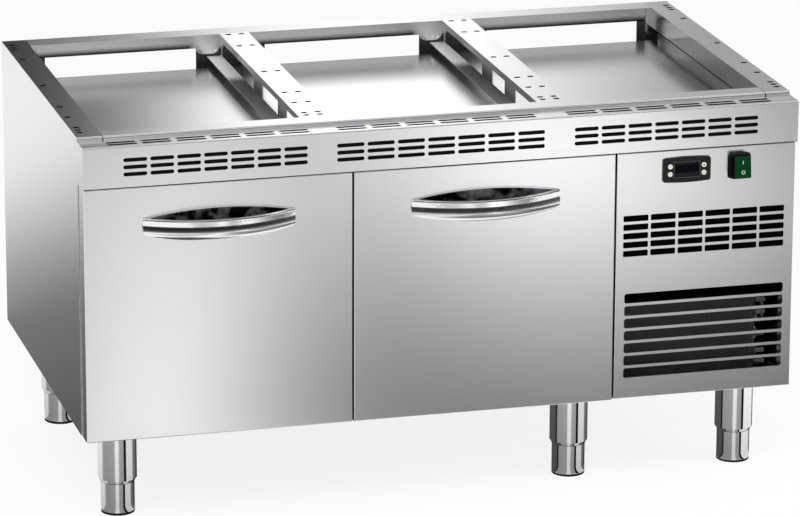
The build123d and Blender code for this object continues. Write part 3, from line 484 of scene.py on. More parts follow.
# Other plastics, rubber, paint and ink: even colours with a faint mould texture
LINER = Moulding("thermoformed_liner", "E4E5E6", 0.42, other="DADBDD")
FOAM = Moulding("polyurethane_foam", "E9DDB8", 0.9, other="D6C493", texture_mm=1.6, depth_mm=0.4)
RUBBER = Moulding("extruded_gasket", "46474A", 0.62, other="3C3D40")
# black rubber for the foot rings, and for the sleeves' painted shadow rings
RUBBER_AND_SHADE_RING = Moulding("black_foot_rubber", "060607", 0.7, other="0A0A0B", shine=0.15)
CASE_BLACK = Moulding("satin_black_case", "131314", 0.34, other="181819", depth_mm=0.01, shine=0.25)
RIM_GREY = Moulding("grey_display_rim", "2E2E31", 0.4, other="343437", depth_mm=0.01)
BOOT_BLACK = Moulding("black_silicone_boot", "050506", 0.42, other="08080A", shine=0.05)
MATTE_BLACK = Moulding("matte_black_nylon", "19191B", 0.55, other="222224", shine=0.3)
# a black sheet that stands as painted shade behind the fascia's slots
BLACK_SHADE_SHEET = Moulding("black_shade_sheet", "161617", 0.9, other="1C1C1D", shine=0.02)
# black strips that stand as painted shade under the slots and flanges, behind the vents and in the
# drawer gaps, and the real black filler of the seams
BLACK_SEAL_AND_SHADE = Moulding("black_seal_and_shade_strip", "050506", 0.9, other="080809", shine=0.02)
BLACK_PAINT = Moulding("black_stoved_paint", "151517", 0.4, other="1C1C1F", depth_mm=0.02)
LENS = Moulding("smoked_display_frame", "111114", 0.3, other="151519", depth_mm=0.0, shine=0.15)
PANE = Moulding("dark_display_window", "03030A", 0.1, other="05050E", depth_mm=0.0, shine=0.03)
BUTTON = Moulding("pale_button_plastic", "DEDCD4", 0.4, other="D2D0C8")
GREEN = Moulding("green_rocker_plastic", "033818", 0.24, other="033115", depth_mm=0.01, shine=0.12)
WHITE_INK = Moulding("white_printing_ink", "F4F6F2", 0.5, other="E8EBE6")
DARK_INK = Moulding("dark_printing_ink", "2A2A2C", 0.5, other="343436")


def wear(piece: Object, finish: Finish) -> None:
    """Give all of a piece one finish.

    Args:
        piece: a CAD node or a new piece.
        finish: what it wears.
    """
    piece.data.materials.clear()
    piece.data.materials.append(finish.material())


def paint(piece: Object, finish: Finish, test: FaceTest) -> None:
    """Give the faces that pass a test a finish of their own.

    Args:
        piece: a piece that wears another finish.
        finish: what those faces wear.
        test: tells which faces.
    """
    worn = piece.data.materials
    if finish.name not in worn:
        worn.append(finish.material())
    place = worn.find(finish.name)
    for face in piece.data.polygons:
        if test(face.center, face.normal):
            face.material_index = place


def focus(piece: Object) -> None:
    """Select one piece alone and make it the active one.

    Args:
        piece: the mesh object to work on.
    """
    bpy.ops.object.select_all(action="DESELECT")
    bpy.context.view_layer.objects.active = piece
    piece.select_set(True)


@contextmanager
def editing(piece: Object) -> Iterator[None]:
    """Open one piece in edit mode with all of it selected, and close it afterwards.

    Args:
        piece: the mesh object to shape.
    """
    focus(piece)
    bpy.ops.object.mode_set(mode="EDIT")
    bpy.ops.mesh.select_mode(type="FACE")
    bpy.ops.mesh.select_all(action="SELECT")
    try:
        yield
    finally:
        bpy.ops.object.mode_set(mode="OBJECT")


def pick(piece: Object, test: FaceTest) -> None:
    """Select only the faces that pass a test, in edit mode.

    Args:
        piece: the piece in edit mode.
        test: tells which faces.
    """
    bpy.ops.mesh.select_all(action="DESELECT")
    mesh = bmesh.from_edit_mesh(piece.data)
    for face in mesh.faces:
        if test(face.calc_center_median(), face.normal):
            face.select_set(True)
    bmesh.update_edit_mesh(piece.data)


def push(offset: Sequence[float]) -> None:
    """Extrude the selected faces by an offset, in edit mode.

    Args:
        offset: the move in metres.
    """
    bpy.ops.mesh.extrude_region_move(TRANSFORM_OT_translate={"value": tuple(offset)})


def ease(width: float, steps: int = 3) -> None:
    """Round the selected faces' edges, in edit mode.

    Args:
        width: how far the rounding reaches.
        steps: how many faces it takes.
    """
    bpy.ops.mesh.bevel(offset=width, segments=steps, affect="EDGES")


def hollow(
    piece: Object, through: Axis, wall: float, shape: Optional[Callable[[], None]] = None
) -> None:
    """Cut the middle out of a block or disc, so that a ring of it stays.

    Args:
        piece: the block or disc.
        through: the way that the cut runs.
        wall: the width of what stays.
        shape: works on the ring further, in edit mode.
    """
    with editing(piece):
        pick(piece, lambda centre, normal: abs(normal[through.value]) > FACING)
        bpy.ops.mesh.inset(thickness=wall, use_individual=True)
        bpy.ops.mesh.bridge_edge_loops()
        if shape:
            shape()
        bpy.ops.mesh.select_all(action="SELECT")
        bpy.ops.mesh.normals_make_consistent(inside=False)


def bake(piece: Object, kind: str, **settings: Any) -> None:
    """Add one modifier to a piece and apply it.

    Args:
        piece: the mesh object.
        kind: the modifier's type.
        settings: the modifier's own properties.
    """
    focus(piece)
    modifier = piece.modifiers.new(kind.lower(), kind)
    for name, value in settings.items():
        setattr(modifier, name, value)
    bpy.ops.object.modifier_apply(modifier=modifier.name)


def fresh(add: Callable[..., Any], **settings: Any) -> Object:
    """Add a primitive with nothing else selected.

    Args:
        add: the operator that makes it.
        settings: what the operator takes.

    Returns:
        The new object.
    """
    bpy.ops.object.select_all(action="DESELECT")
    add(**settings)
    return bpy.context.object


def brick(low: Sequence[float], high: Sequence[float], bevel: float = 0.0) -> Object:
    """Model a straight block between two corners, with its edges eased.

    Args:
        low: the lowest corner in metres.
        high: the highest corner in metres.
        bevel: width of the eased edges.

    Returns:
        The new block.
    """
    low, high = Vector(low), Vector(high)
    block = fresh(bpy.ops.mesh.primitive_cube_add, size=1.0)
    with editing(block):
        bpy.ops.transform.resize(value=high - low)
        bpy.ops.transform.translate(value=(low + high) / 2)
        if bevel:
            ease(bevel, 2)
    return block


def disc(radius: float, height: float, sides: int = 32) -> Object:
    """Model an upright prism that stands on the origin.

    Args:
        radius: to its corners.
        height: along Z.
        sides: how many it has.

    Returns:
        The new prism.
    """
    prism = fresh(bpy.ops.mesh.primitive_cylinder_add, vertices=sides, radius=radius, depth=height)
    with editing(prism):
        bpy.ops.transform.translate(value=(0.0, 0.0, height / 2))
    return prism


def settle(piece: Object, name: str, body: str, finish: Finish) -> None:
    """Name a finished piece, dress it and let it ride its body.

    Args:
        piece: the piece, in place.
        name: its name.
        body: the CAD body that carries it.
        finish: what it wears.
    """
    piece.name = piece.data.name = name
    wear(piece, finish)
    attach(piece, body)
    log.info("%s rides %s", name, body)


def repeat(piece: Object, places: Sequence[Matrix]) -> list[Object]:
    """Copy a piece to several places, each copy with its own mesh, and drop the pattern.

    Args:
        piece: the pattern, modelled at the origin.
        places: where the copies go.

    Returns:
        The copies in order.
    """
    copies = []
    for place in places:
        copy = piece.copy()
        copy.data = piece.data.copy()
        copy.data.transform(place)
        bpy.context.scene.collection.objects.link(copy)
        copies.append(copy)
    bpy.data.objects.remove(piece)
    return copies


def facing(place: Sequence[float], normal: Vector) -> Matrix:
    """Turn a pattern that stands along Z so that it stands on a wall.

    Args:
        place: its foot on the wall.
        normal: the wall's outward direction, not along Z.

    Returns:
        The pattern's matrix; its local Y stays as upright as it can.
    """
    ahead = normal.normalized()
    side = Axis.Z.vector.cross(ahead).normalized()
    turn = Matrix((side, ahead.cross(side), ahead)).transposed().to_4x4()
    return Matrix.Translation(place) @ turn


def middle_of(node: str) -> Vector:
    """Give the middle of a CAD node's box."""
    return sum(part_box(node), Vector()) / 2


@dataclass
class PanScrew:
    """A low domed screw with a round recess."""

    radius: float = 2.7 * MM
    height: float = 1.9 * MM
    sides: int = 24
    dome: float = 1.045 * MM
    flat: float = 0.455 * MM  # left round the recess
    sink: float = 0.76 * MM
    body: str = "cabinet"

    def model(self) -> Object:
        """Turn the head, dome its rim and sink the recess.

        Returns:
            The screw, standing along Z.
        """
        head = disc(self.radius, self.height, self.sides)
        with editing(head):
            pick(head, lambda centre, normal: normal.z > FACING)
            ease(self.dome)
            pick(head, lambda centre, normal: centre.z > self.height - HAIR)
            bpy.ops.mesh.inset(thickness=self.flat)
            push((0.0, 0.0, -self.sink))
        return head

    def place(self, name: str, spots: Sequence[Sequence[float]], normal: Vector) -> None:
        """Drive screws into a wall.

        Args:
            name: their common name.
            spots: their feet on the wall.
            normal: the wall's outward direction.
        """
        copies = repeat(self.model(), [facing(spot, normal) for spot in spots])
        for number, copy in enumerate(copies, start=1):
            settle(copy, f"{name}_{number}", self.body, BRIGHT_SCREW)


class SubAssembly:
    """A group of CAD nodes, the finishes they wear and the pieces added to them."""

    def finishes(self) -> dict[str, Finish]:
        """Say which finish each CAD node wears."""
        raise NotImplementedError

    def build(self) -> None:
        """Make the group's new pieces."""
        raise NotImplementedError

    def dress(self) -> None:
        """Put the finishes on the CAD nodes and report them."""
        for node, finish in self.finishes().items():
            wear(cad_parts[node], finish)
            log.info("%s wears %s", node, finish.name)

    def paint_slot_shade(self, node: str, plate: Span, through: Axis, margin: float = 3.0 * MM) -> None:
        """Paint shade on the walls of the slots in a plate, so that the slots read dark.

        Args:
            node: the slotted CAD node.
            plate: the plate's limits along the axis that the slots run through.
            through: that axis.
            margin: how far the slots keep from the node's outline.
        """
        low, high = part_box(node)
        way = through.value
        across = [axis.value for axis in Axis if axis is not through]
        steep = 0.5  # a wall's normal has less than this along the axis

        def is_wall(centre: Vector, normal: Vector) -> bool:
            """Tell the slot walls from the plate's own faces."""
            inside = all(low[k] + margin < centre[k] < high[k] - margin for k in across)
            return inside and plate[0] < centre[way] < plate[1] and abs(normal[way]) < steep

        paint(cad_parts[node], SLOT_SHADE, is_wall)


@dataclass
class Cabinet(SubAssembly):
    """The insulated body: outer sheets, cold room and partition."""

    sheet: float = 1.5 * MM
    sheet_ease: float = 0.25 * MM
    baffle_gap: float = 3.0 * MM
    baffle_rise: float = 3.0 * MM
    baffle_sheet: float = 1.0 * MM
    baffle_end: float = 3.0 * MM  # before the fascia's rear edge
    screw_inset: float = 12.0 * MM
    screws_across: int = 7
    screws_up: int = 4
    louvre_margin: float = 16.0 * MM
    louvre_above: float = 240.3 * MM
    louvre_below: float = 35.5 * MM
    louvre_return: float = 20.0 * MM
    vent_zone: Span = (177.0 * MM, 102.0 * MM)  # below the top of the service panel
    vent_margin: float = 10.0 * MM
    vent_wall: float = 1.2 * MM
    vent_depth: float = 7.0 * MM

    def finishes(self) -> dict[str, Finish]:
        """Say which finish each CAD node wears.

        Returns:
            Finishes by node.
        """
        return {
            "left_side_panel": SATIN_DEEP,
            "right_side_panel": SATIN_DEEP,
            "back_panel": ZINC,
            "base_panel": ZINC,
            "top_deck": POLISHED_DECK,
            "cabinet_liner": SATIN_DEEP,
            "insulation_foam": FOAM,
            "partition_panel": ZINC,
            "front_fascia": SATIN_ALONG,
            "service_panel": SATIN_ALONG,
            "fixed_runners": ZINC,
            "mains_gland": MATTE_BLACK,
        }

    def build(self) -> None:
        """Paint shade on the fascia's vent slots and set black sheets behind the vents as painted
        shade, close the louvres' end, screw on the back panel.
        """
        low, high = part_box("front_fascia")
        self.paint_slot_shade("front_fascia", (low.y, low.y + self.sheet), Axis.Y)
        self.paint_slot_shade("front_fascia", (high.z - self.sheet, high.z), Axis.Z)
        self._baffle(low, high)
        self._vent_felt()
        self._louvre_return()
        self._back_screws()

    def _baffle(self, low: Vector, high: Vector) -> None:
        """Fold a black sheet behind the fascia's face and under its ledge, painted shade for the dark
        behind the slots.

        Args:
            low: the fascia's lowest corner.
            high: the fascia's highest corner.
        """
        inset = self.sheet + self.baffle_gap
        face, ceiling = low.y + inset, high.z - inset
        shelf = ceiling - self.baffle_sheet
        fold = brick(
            (low.x + inset, face, low.z + self.baffle_rise),
            (high.x - inset, face + self.baffle_sheet, ceiling),
        )
        with editing(fold):
            bpy.ops.mesh.bisect(plane_co=(0.0, 0.0, shelf), plane_no=(0.0, 0.0, 1.0))
            pick(fold, lambda centre, normal: normal.y > FACING and centre.z > shelf)
            push((0.0, high.y - face - self.baffle_end, 0.0))
        settle(fold, "vent_shade_sheet", "cabinet", BLACK_SHADE_SHEET)

    def _vent_felt(self) -> None:
        """Set a shallow black tray behind the service panel's vents, painted shade for the dark behind
        them.
        """
        low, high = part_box("service_panel")
        back = low.y + self.sheet
        tray = brick(
            (low.x + self.vent_margin, back, high.z - self.vent_zone[0]),
            (high.x - self.vent_margin, back + self.vent_depth, high.z - self.vent_zone[1]),
        )
        with editing(tray):
            pick(tray, lambda centre, normal: normal.y < -FACING)
            bpy.ops.mesh.inset(thickness=self.vent_wall)
            push((0.0, self.vent_depth - self.vent_wall, 0.0))
        settle(tray, "vent_shade_tray", "cabinet", BLACK_SEAL_AND_SHADE)

    def _louvre_return(self) -> None:
        """Stand the folded sheet that ends the louvres on the right behind the service panel."""
        low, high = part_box("service_panel")
        end, back = high.x - self.louvre_margin, low.y + self.sheet
        fold = brick(
            (end, back, low.z + self.louvre_below),
            (end + self.sheet, back + self.louvre_return, high.z - self.louvre_above),
            self.sheet_ease,
        )
        settle(fold, "louvre_return", "cabinet", SATIN_DEEP)

    def _back_screws(self) -> None:
        """Screw the back panel on along its foot and up both sides."""
        low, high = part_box("back_panel")
        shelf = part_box("rear_brackets")[0].z
        left, right = low.x + self.screw_inset, high.x - self.screw_inset
        foot = low.z + self.screw_inset
        step = (right - left) / (self.screws_across - 1)
        rise = (shelf - foot) / self.screws_up
        spots = [(left + step * number, high.y, foot) for number in range(self.screws_across)]
        for x in (left, right):
            spots += [(x, high.y, foot + rise * number) for number in range(1, self.screws_up)]
        PanScrew().place("back_screw", spots, Axis.Y.vector)


@dataclass
class TopFrame(SubAssembly):
    """The slotted rails that carry the cooking units, and the rear brackets."""

    sheet: float = 2.0 * MM
    # the black strips under the slots are painted shade
    tape: float = 0.8 * MM
    tape_ease: float = 0.2 * MM
    tape_inset: float = 4.0 * MM
    tape_width: float = 15.0 * MM
    tape_start: float = 4.0 * MM  # behind the side rails' front edge
    tape_restart: float = 6.0 * MM  # behind the rear rail's front face
    cross_tape: float = 36.0 * MM
    ear_screw: float = 2.2 * MM
    screw_spread: float = 9.5 * MM
    screw_drop: float = 29.0 * MM
    ear_middle: float = 37.75 * MM  # its screws, to the left of the cross rail's cap
    ear_centre: float = 47.25 * MM  # the ear itself, from the same place
    rear_flange: float = 23.0 * MM
    side_width: float = 42.0 * MM
    side_flange: float = 34.0 * MM
    # the black strip under each side flange, painted shadow: its reach and height
    seal: Span = (2.6 * MM, 2.4 * MM)  # how far it reaches outwards and its height
    seam: float = 0.6 * MM
    seam_play: float = 1.1  # the seam's width over its fill's
    bead: Span = (1.8 * MM, 0.15 * MM)  # its width and how far it stands out
    nose: float = 3.0 * MM  # the front rail's rounded upper edge
    foot_drop: float = 37.9 * MM  # the cross rails' feet, from the rail tops

    def finishes(self) -> dict[str, Finish]:
        """Say which finish each CAD node wears.

        Returns:
            Finishes by node.
        """
        return {
            **{rail: SATIN_RAIL for rail in self._slotted_rails()},
            "front_rail": SATIN_ALONG,
            "rear_rail": SATIN_REAR,
            "rear_brackets": DARK_BRACKET_COAT,
        }

    def build(self) -> None:
        """Back the slots and hang the flanges with black strips as painted shade, screw the ears on
        and paint shade into the steel.
        """
        for side, inward in zip(SIDES, (1, -1)):
            self._trim_side(side, inward)
        for side, rail in zip(SIDES, self._cross_rails()):
            low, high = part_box(rail)
            middle = self._cap_middle(rail)
            across = (middle - self.cross_tape / 2, middle + self.cross_tape / 2)
            run = (low.y + self.sheet, high.y - self.sheet)
            self._tape(f"slot_tape_cross_{side}", across, run, high.z)
        self._paint_face_shade()
        self._hem()

    def _cross_rails(self) -> list[str]:
        """Name the two cross rails."""
        return [f"cross_rail_{side}" for side in SIDES]

    def _slotted_rails(self) -> list[str]:
        """Name the side rails and the cross rails."""
        return [f"{side}_rail" for side in SIDES] + self._cross_rails()

    def _trim_side(self, side: str, inward: int) -> None:
        """Lay the black strips of painted shade under the slots and the flange, fill the seam and
        screw one side of the frame.

        Args:
            side: left or right.
            inward: 1 where the counter's middle lies to the right of it, -1 to the left.
        """
        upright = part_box("rear_rail")[0].y
        low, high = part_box(f"{side}_rail")
        edge = low.x if inward > 0 else high.x
        reaches = (self.tape_inset, self.tape_inset + self.tape_width)
        across = sorted(edge + inward * reach for reach in reaches)
        runs = {
            "front": (low.y + self.tape_start, upright - self.sheet),
            "rear": (upright + self.tape_restart, high.y - self.sheet),
        }
        for end, run in runs.items():
            self._tape(f"slot_tape_{side}_{end}", across, run, high.z)
        self._ear_screws(f"cross_rail_{side}", upright)
        self._flange_seal(side, edge + inward * self.side_width, inward, high.z)
        self._seam(side, edge + inward * (self.side_width + self.seam / 2), high.z)

    def _paint_face_shade(self) -> None:
        """Paint shade on the slots' walls, on the cross rails' webs and feet and on the right flange.
        """
        for rail in self._slotted_rails():
            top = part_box(rail)[1].z
            self.paint_slot_shade(rail, (top - self.sheet, top), Axis.Z)
        for rail in self._cross_rails():
            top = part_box(rail)[1].z
            web, foot = top - self.sheet, top - self.foot_drop
            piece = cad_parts[rail]
            # painted shade: the webs' left faces greyer
            paint(piece, SHADED_WEB, lambda centre, normal: normal.x < -FACING and centre.z < web)
            # painted shade on the feet's tops, dark in front
            paint(piece, PAINTED_SHADE_FOOT, lambda centre, normal: normal.z > FACING and centre.z < foot)
        # painted shade: the right bay's faces that face left greyer
        bay = self._cap_middle("cross_rail_right")
        for node in ("right_rail", "top_deck"):
            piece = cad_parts[node]
            paint(piece, SHADED_FLANGE, lambda centre, normal: normal.x < -FACING and centre.x > bay)

    def _hem(self) -> None:
        """Paint shade on the rolled lower edge of the rear rail's front flange."""
        low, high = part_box("rear_rail")
        rim_shade_finish = EdgeShadedSteel(
            "stainless_rim_painted_shade",
            SATIN_REAR.colour,
            SATIN_REAR.roughness,
            edge=high.z - self.rear_flange,
            ears=tuple(self._cap_middle(rail) - self.ear_centre for rail in self._cross_rails()),
        )
        front = low.y + self.sheet
        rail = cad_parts["rear_rail"]
        paint(rail, rim_shade_finish, lambda centre, normal: normal.y < -FACING and centre.y < front)

    def _cap_middle(self, node: str) -> float:
        """Give the middle of a cross rail's cap along X.

        Args:
            node: the cross rail.

        Returns:
            Its place in metres.
        """
        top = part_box(node)[1].z
        cap = [spot.co.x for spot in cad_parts[node].data.vertices if spot.co.z > top - MM]
        return (min(cap) + max(cap)) / 2

    def _tape(self, name: str, across: Sequence[float], run: Span, top: float) -> None:
        """Lay a black strip under a row of slots, painted shade for the dark below them.

        Args:
            name: the tape's name.
            across: its limits along X.
            run: its limits along Y.
            top: the rail's upper face.
        """
        high = top - self.sheet
        strip = brick((across[0], run[0], high - self.tape), (across[1], run[1], high), self.tape_ease)
        settle(strip, name, "cabinet", BLACK_SEAL_AND_SHADE)

    def _flange_seal(self, side: str, inner: float, inward: int, top: float) -> None:
        """Hang a black strip from a side rail's inner flange, painted shadow for the gap below its
        edge.

        Args:
            side: left or right.
            inner: the flange's face along X.
            inward: 1 where the counter's middle lies to the right of it, -1 to the left.
            top: the rail's upper face.
        """
        front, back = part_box("front_rail")[1].y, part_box("rear_rail")[0].y
        across = sorted(inner - inward * reach for reach in (self.tape_ease, self.seal[0]))
        high = top - self.side_flange
        strip = brick((across[0], front, high - self.seal[1]), (across[1], back, high), self.tape_ease)
        settle(strip, f"flange_shade_strip_{side}", "cabinet", BLACK_SEAL_AND_SHADE)

    def _seam(self, side: str, middle: float, top: float) -> None:
        """Fill the seam between the front rail and a side rail, with a bead down its front.

        Args:
            side: left or right.
            middle: the seam's middle along X.
            top: the rail's upper face.
        """
        low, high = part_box("front_rail")
        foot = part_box("front_fascia")[1].z
        half, bead = self.seam / self.seam_play / 2, self.bead[0] / 2
        fill = brick(
            (middle - half, low.y + self.nose, foot), (middle + half, high.y, top - self.bead[1])
        )
        settle(fill, f"seam_fill_{side}", "cabinet", BLACK_SEAL_AND_SHADE)
        strip = brick(
            (middle - bead, low.y - self.bead[1], foot),
            (middle + bead, low.y + self.sheet, top - self.nose / 2),
            self.bead[1],
        )
        settle(strip, f"seam_bead_{side}", "cabinet", BLACK_SEAL_AND_SHADE)

    def _ear_screws(self, rail: str, face: float) -> None:
        """Put two bright screws in the ear beside a cross rail.

        Args:
            rail: the cross rail.
            face: the front face of the ear along Y.
        """
        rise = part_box(rail)[1].z - self.screw_drop
        middle = self._cap_middle(rail) - self.ear_middle
        spots = [(middle + way * self.screw_spread / 2, face, rise) for way in (-1, 1)]
        PanScrew(radius=self.ear_screw).place(f"ear_screw_{rail}", spots, -Axis.Y.vector)


@dataclass
class Drawer(SubAssembly):
    """One insulated drawer with its cup handle and runners."""

    number: int
    seal_width: float = 10.0 * MM
    seal_round: float = 1.8 * MM
    # a black strip in the gap beside the front, painted shade for the dark between the parts
    lip: Span = (2.5 * MM, 4.0 * MM)  # its reach across the gap and its depth
    lip_ease: float = 0.5 * MM
    lip_setback: float = 7.0 * MM

    def finishes(self) -> dict[str, Finish]:
        """Say which finish each CAD node wears.

        Returns:
            Finishes by node.
        """
        worn = {
            "drawer_front": SATIN_ALONG,
            "drawer_liner": LINER,
            "drawer_gasket": RUBBER,
            "drawer_box": BLASTED,
            "drawer_runners": ZINC,
            "middle_runners": ZINC,
            "handle": SATIN_HANDLE,
            "handle_cup": CUP_BLACK_REFLECTIONS,
        }
        return {f"{name}_{self.number}": finish for name, finish in worn.items()}

    def build(self) -> None:
        """Model the gasket with a soft rounded lip for the plain CAD ring, and set a black strip in
        the gap beside the front as painted shade.
        """
        node = f"drawer_gasket_{self.number}"
        ring = brick(*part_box(node))

        def soften() -> None:
            """Round the gasket's rear edges."""
            pick(ring, lambda centre, normal: normal.y > FACING)
            ease(self.seal_round)

        hollow(ring, Axis.Y, self.seal_width, soften)
        settle(ring, f"gasket_lip_{self.number}", f"drawer_{self.number}", RUBBER)
        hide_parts(node)
        low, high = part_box(f"drawer_front_{self.number}")
        face = low.y + self.lip_setback
        strip = brick(
            (high.x, face, low.z),
            (high.x + self.lip[0], face + self.lip[1], high.z),
            self.lip_ease,
        )
        settle(strip, f"gap_shade_strip_{self.number}", f"drawer_{self.number}", BLACK_SEAL_AND_SHADE)


@dataclass
class Controls(SubAssembly):
    """The thermostat and the rocker switch."""

    pane: Span = (40.0 * MM, 14.0 * MM)  # width and height
    pane_rise: float = 2.0 * MM
    rim: float = 1.4 * MM
    rim_height: float = 0.4 * MM
    rim_round: float = 0.28 * MM
    print_height: float = 0.12 * MM
    print_ease: float = 0.04 * MM
    icon: float = 1.5 * MM
    bar: Span = (0.8 * MM, 5.4 * MM)  # width and height
    ring: Span = (3.1 * MM, 2.4 * MM)  # outer and inner radius
    mark_rise: Span = (8.1 * MM, -8.2 * MM)  # bar and ring, from the rocker's middle
    rocker_front: float = 0.95  # least share of the normals on the rocker's tilted face

    def finishes(self) -> dict[str, Finish]:
        """Say which finish each CAD node wears.

        Returns:
            Finishes by node.
        """
        return {
            "thermostat_case": CASE_BLACK,
            "thermostat_lens": LENS,
            "switch_boot": BOOT_BLACK,
            "switch_rocker": GREEN,
            **{f"button_{row}_{side}": BUTTON for row in ("upper", "lower") for side in SIDES},
        }

    def build(self) -> None:
        """Blacken the rocker's sides; add the display's rim and window, the icons and the marks."""
        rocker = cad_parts["switch_rocker"]
        paint(rocker, BOOT_BLACK, lambda centre, normal: normal.y > -FACING)
        self._display()
        self._icons()
        self._marks()

    def _display(self) -> None:
        """Frame the display and lay its dark window on the lens."""
        low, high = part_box("thermostat_lens")
        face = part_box("thermostat_case")[0].y
        margin = Vector((self.rim, 0.0, self.rim))
        corner = Vector((low.x, face - self.rim_height, low.z))
        rim = brick(corner - margin, Vector((high.x, face, high.z)) + margin)

        def soften() -> None:
            """Round the rim's front edges."""
            pick(rim, lambda centre, normal: normal.y < -FACING)
            ease(self.rim_round, 2)

        hollow(rim, Axis.Y, self.rim, soften)
        settle(rim, "display_rim", "cabinet", RIM_GREY)
        middle = Vector(((low.x + high.x) / 2, low.y, (low.z + high.z) / 2 + self.pane_rise))
        half = Vector((self.pane[0] / 2, 0.0, self.pane[1] / 2))
        lift = Vector((0.0, self.print_height, 0.0))
        window = brick(middle - half - lift, middle + half, self.print_ease)
        settle(window, "display_window", "cabinet", PANE)

    def _icons(self) -> None:
        """Print a small dark sign on each button: up, down, dot and square."""
        signs = {  # corners, and degrees that the sign is turned
            "button_upper_left": (3, 0.0),
            "button_lower_left": (3, 180.0),
            "button_upper_right": (16, 0.0),
            "button_lower_right": (4, 45.0),
        }
        for button, (corners, degrees) in signs.items():
            spot = middle_of(button)
            spot.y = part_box(button)[0].y
            turn = Matrix.Rotation(math.radians(degrees), 4, "Z")
            sign = disc(self.icon, self.print_height, corners)
            sign.data.transform(facing(spot, -Axis.Y.vector) @ turn)
            settle(sign, f"icon_{button}", button, DARK_INK)

    def _marks(self) -> None:
        """Print the on bar and the off ring on the rocker's tilted face."""
        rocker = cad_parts["switch_rocker"].data
        front = [face for face in rocker.polygons if face.normal.y < -self.rocker_front]
        area = sum(face.area for face in front)
        normal = sum((face.normal * face.area for face in front), Vector()) / area
        middle = sum((face.center * face.area for face in front), Vector()) / area
        half = Vector((self.bar[0] / 2, self.bar[1] / 2, 0.0))
        bar = brick(-half, half + Vector((0.0, 0.0, self.print_height)))
        ring = disc(self.ring[0], self.print_height)
        hollow(ring, Axis.Z, self.ring[0] - self.ring[1])
        for name, mark, rise in zip(("on", "off"), (bar, ring), self.mark_rise):
            mark.data.transform(facing(middle, normal) @ Matrix.Translation((0.0, rise, 0.0)))
            settle(mark, f"rocker_mark_{name}", "switch_rocker", WHITE_INK)


@dataclass
class Legs(SubAssembly):
    """Six chromed sleeves and their feet."""

    ring_radius: float = 27.75 * MM
    ring_height: float = 4.0 * MM
    ring_wall: float = 1.1 * MM
    ring_ease: float = 0.2  # share of a ring's wall
    ring_sides: int = 64
    sleeve_radius: float = 31.8 * MM
    sleeve_lip: float = 28.8 * MM
    sleeve_bore: float = 27.85 * MM
    sleeve_end: float = 54.6 * MM  # above the floor
    sleeve_chamfer: float = 5.0 * MM
    sleeve_flange: Span = (44.0 * MM, 3.0 * MM)  # radius and thickness
    sleeve_sides: int = 96
    smooth_below: float = 25.0  # degrees between faces that shade as one
    bore_depth: float = 88.0 * MM
    # a thin black ring at each sleeve's mouth, painted shadow
    shadow_ring_radius: float = 28.4 * MM
    shadow_ring_height: float = 0.9 * MM

    def feet(self) -> list[str]:
        """Name the six feet."""
        columns = ("left", "middle", "right")
        return [f"foot_{row}_{column}" for row in ("front", "rear") for column in columns]

    def finishes(self) -> dict[str, Finish]:
        """Say which finish each CAD node wears."""
        return {node: CHROME for node in ("leg_sleeves", *self.feet())}

    def build(self) -> None:
        """Press a black ring on each foot, turn the sleeves, and set a black ring at each mouth as
        painted shadow for the gap between sleeve and foot.
        """
        ring = self._ring(self.ring_radius, self.ring_height, self.ring_wall)
        for foot, copy in self._copies(ring, 0.0):
            settle(copy, f"ring_{foot}", foot, RUBBER_AND_SHADE_RING)
        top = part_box("leg_sleeves")[1].z
        for foot, copy in self._copies(self._sleeve(top), top - self.sleeve_flange[1]):
            settle(copy, foot.replace("foot", "sleeve"), "cabinet", CHROME)
            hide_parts("leg_sleeves")
        # painted shadow: a thin black ring at each sleeve's mouth
        wall = self.shadow_ring_radius - self.sleeve_bore
        seal = self._ring(self.shadow_ring_radius, self.shadow_ring_height, wall)
        for foot, copy in self._copies(seal, self.sleeve_end - self.shadow_ring_height):
            settle(copy, foot.replace("foot", "seal"), "cabinet", RUBBER_AND_SHADE_RING)

    def _copies(self, piece: Object, rise: float) -> list[tuple[str, Object]]:
        """Copy a piece to all six legs.

        Args:
            piece: the pattern, modelled at the origin.
            rise: how far above the floor it goes.

        Returns:
            Each foot's name with its copy.
        """
        spots = [middle_of(foot) for foot in self.feet()]
        places = [Matrix.Translation((spot.x, spot.y, rise)) for spot in spots]
        return list(zip(self.feet(), repeat(piece, places)))

    def _ring(self, radius: float, height: float, wall: float) -> Object:
        """Model a thin ring that stands on the origin.

        Args:
            radius: of its outside.
            height: along Z.
            wall: its thickness.

        Returns:
            The ring.
        """
        ring = disc(radius, height, self.ring_sides)
        with editing(ring):
            pick(ring, lambda centre, normal: abs(normal.z) > FACING)
            bpy.ops.mesh.delete(type="ONLY_FACE")
        bake(ring, "SOLIDIFY", thickness=wall, offset=-1.0)
        bake(ring, "BEVEL", width=wall * self.ring_ease, segments=2)
        return ring

    def _sleeve(self, top: float) -> Object:
        """Turn one sleeve: its flange, tube, chamfered mouth and bore.

        Args:
            top: the flange's upper face above the floor.

        Returns:
            The sleeve, with the flange's lower face on the origin.
        """
        radius, sheet = self.sleeve_flange
        sleeve = disc(radius, sheet, self.sleeve_sides)
        mouth = self.sleeve_lip / self.sleeve_radius
        with editing(sleeve):
            pick(sleeve, lambda centre, normal: normal.z < -FACING)
            bpy.ops.mesh.inset(thickness=radius - self.sleeve_radius)
            push((0.0, 0.0, self.sleeve_end + self.sleeve_chamfer + sheet - top))
            push((0.0, 0.0, -self.sleeve_chamfer))
            bpy.ops.transform.resize(value=(mouth, mouth, 1.0))
            bpy.ops.mesh.inset(thickness=self.sleeve_lip - self.sleeve_bore)
            push((0.0, 0.0, self.bore_depth))
        bpy.ops.object.shade_smooth_by_angle(angle=math.radians(self.smooth_below))
        return sleeve


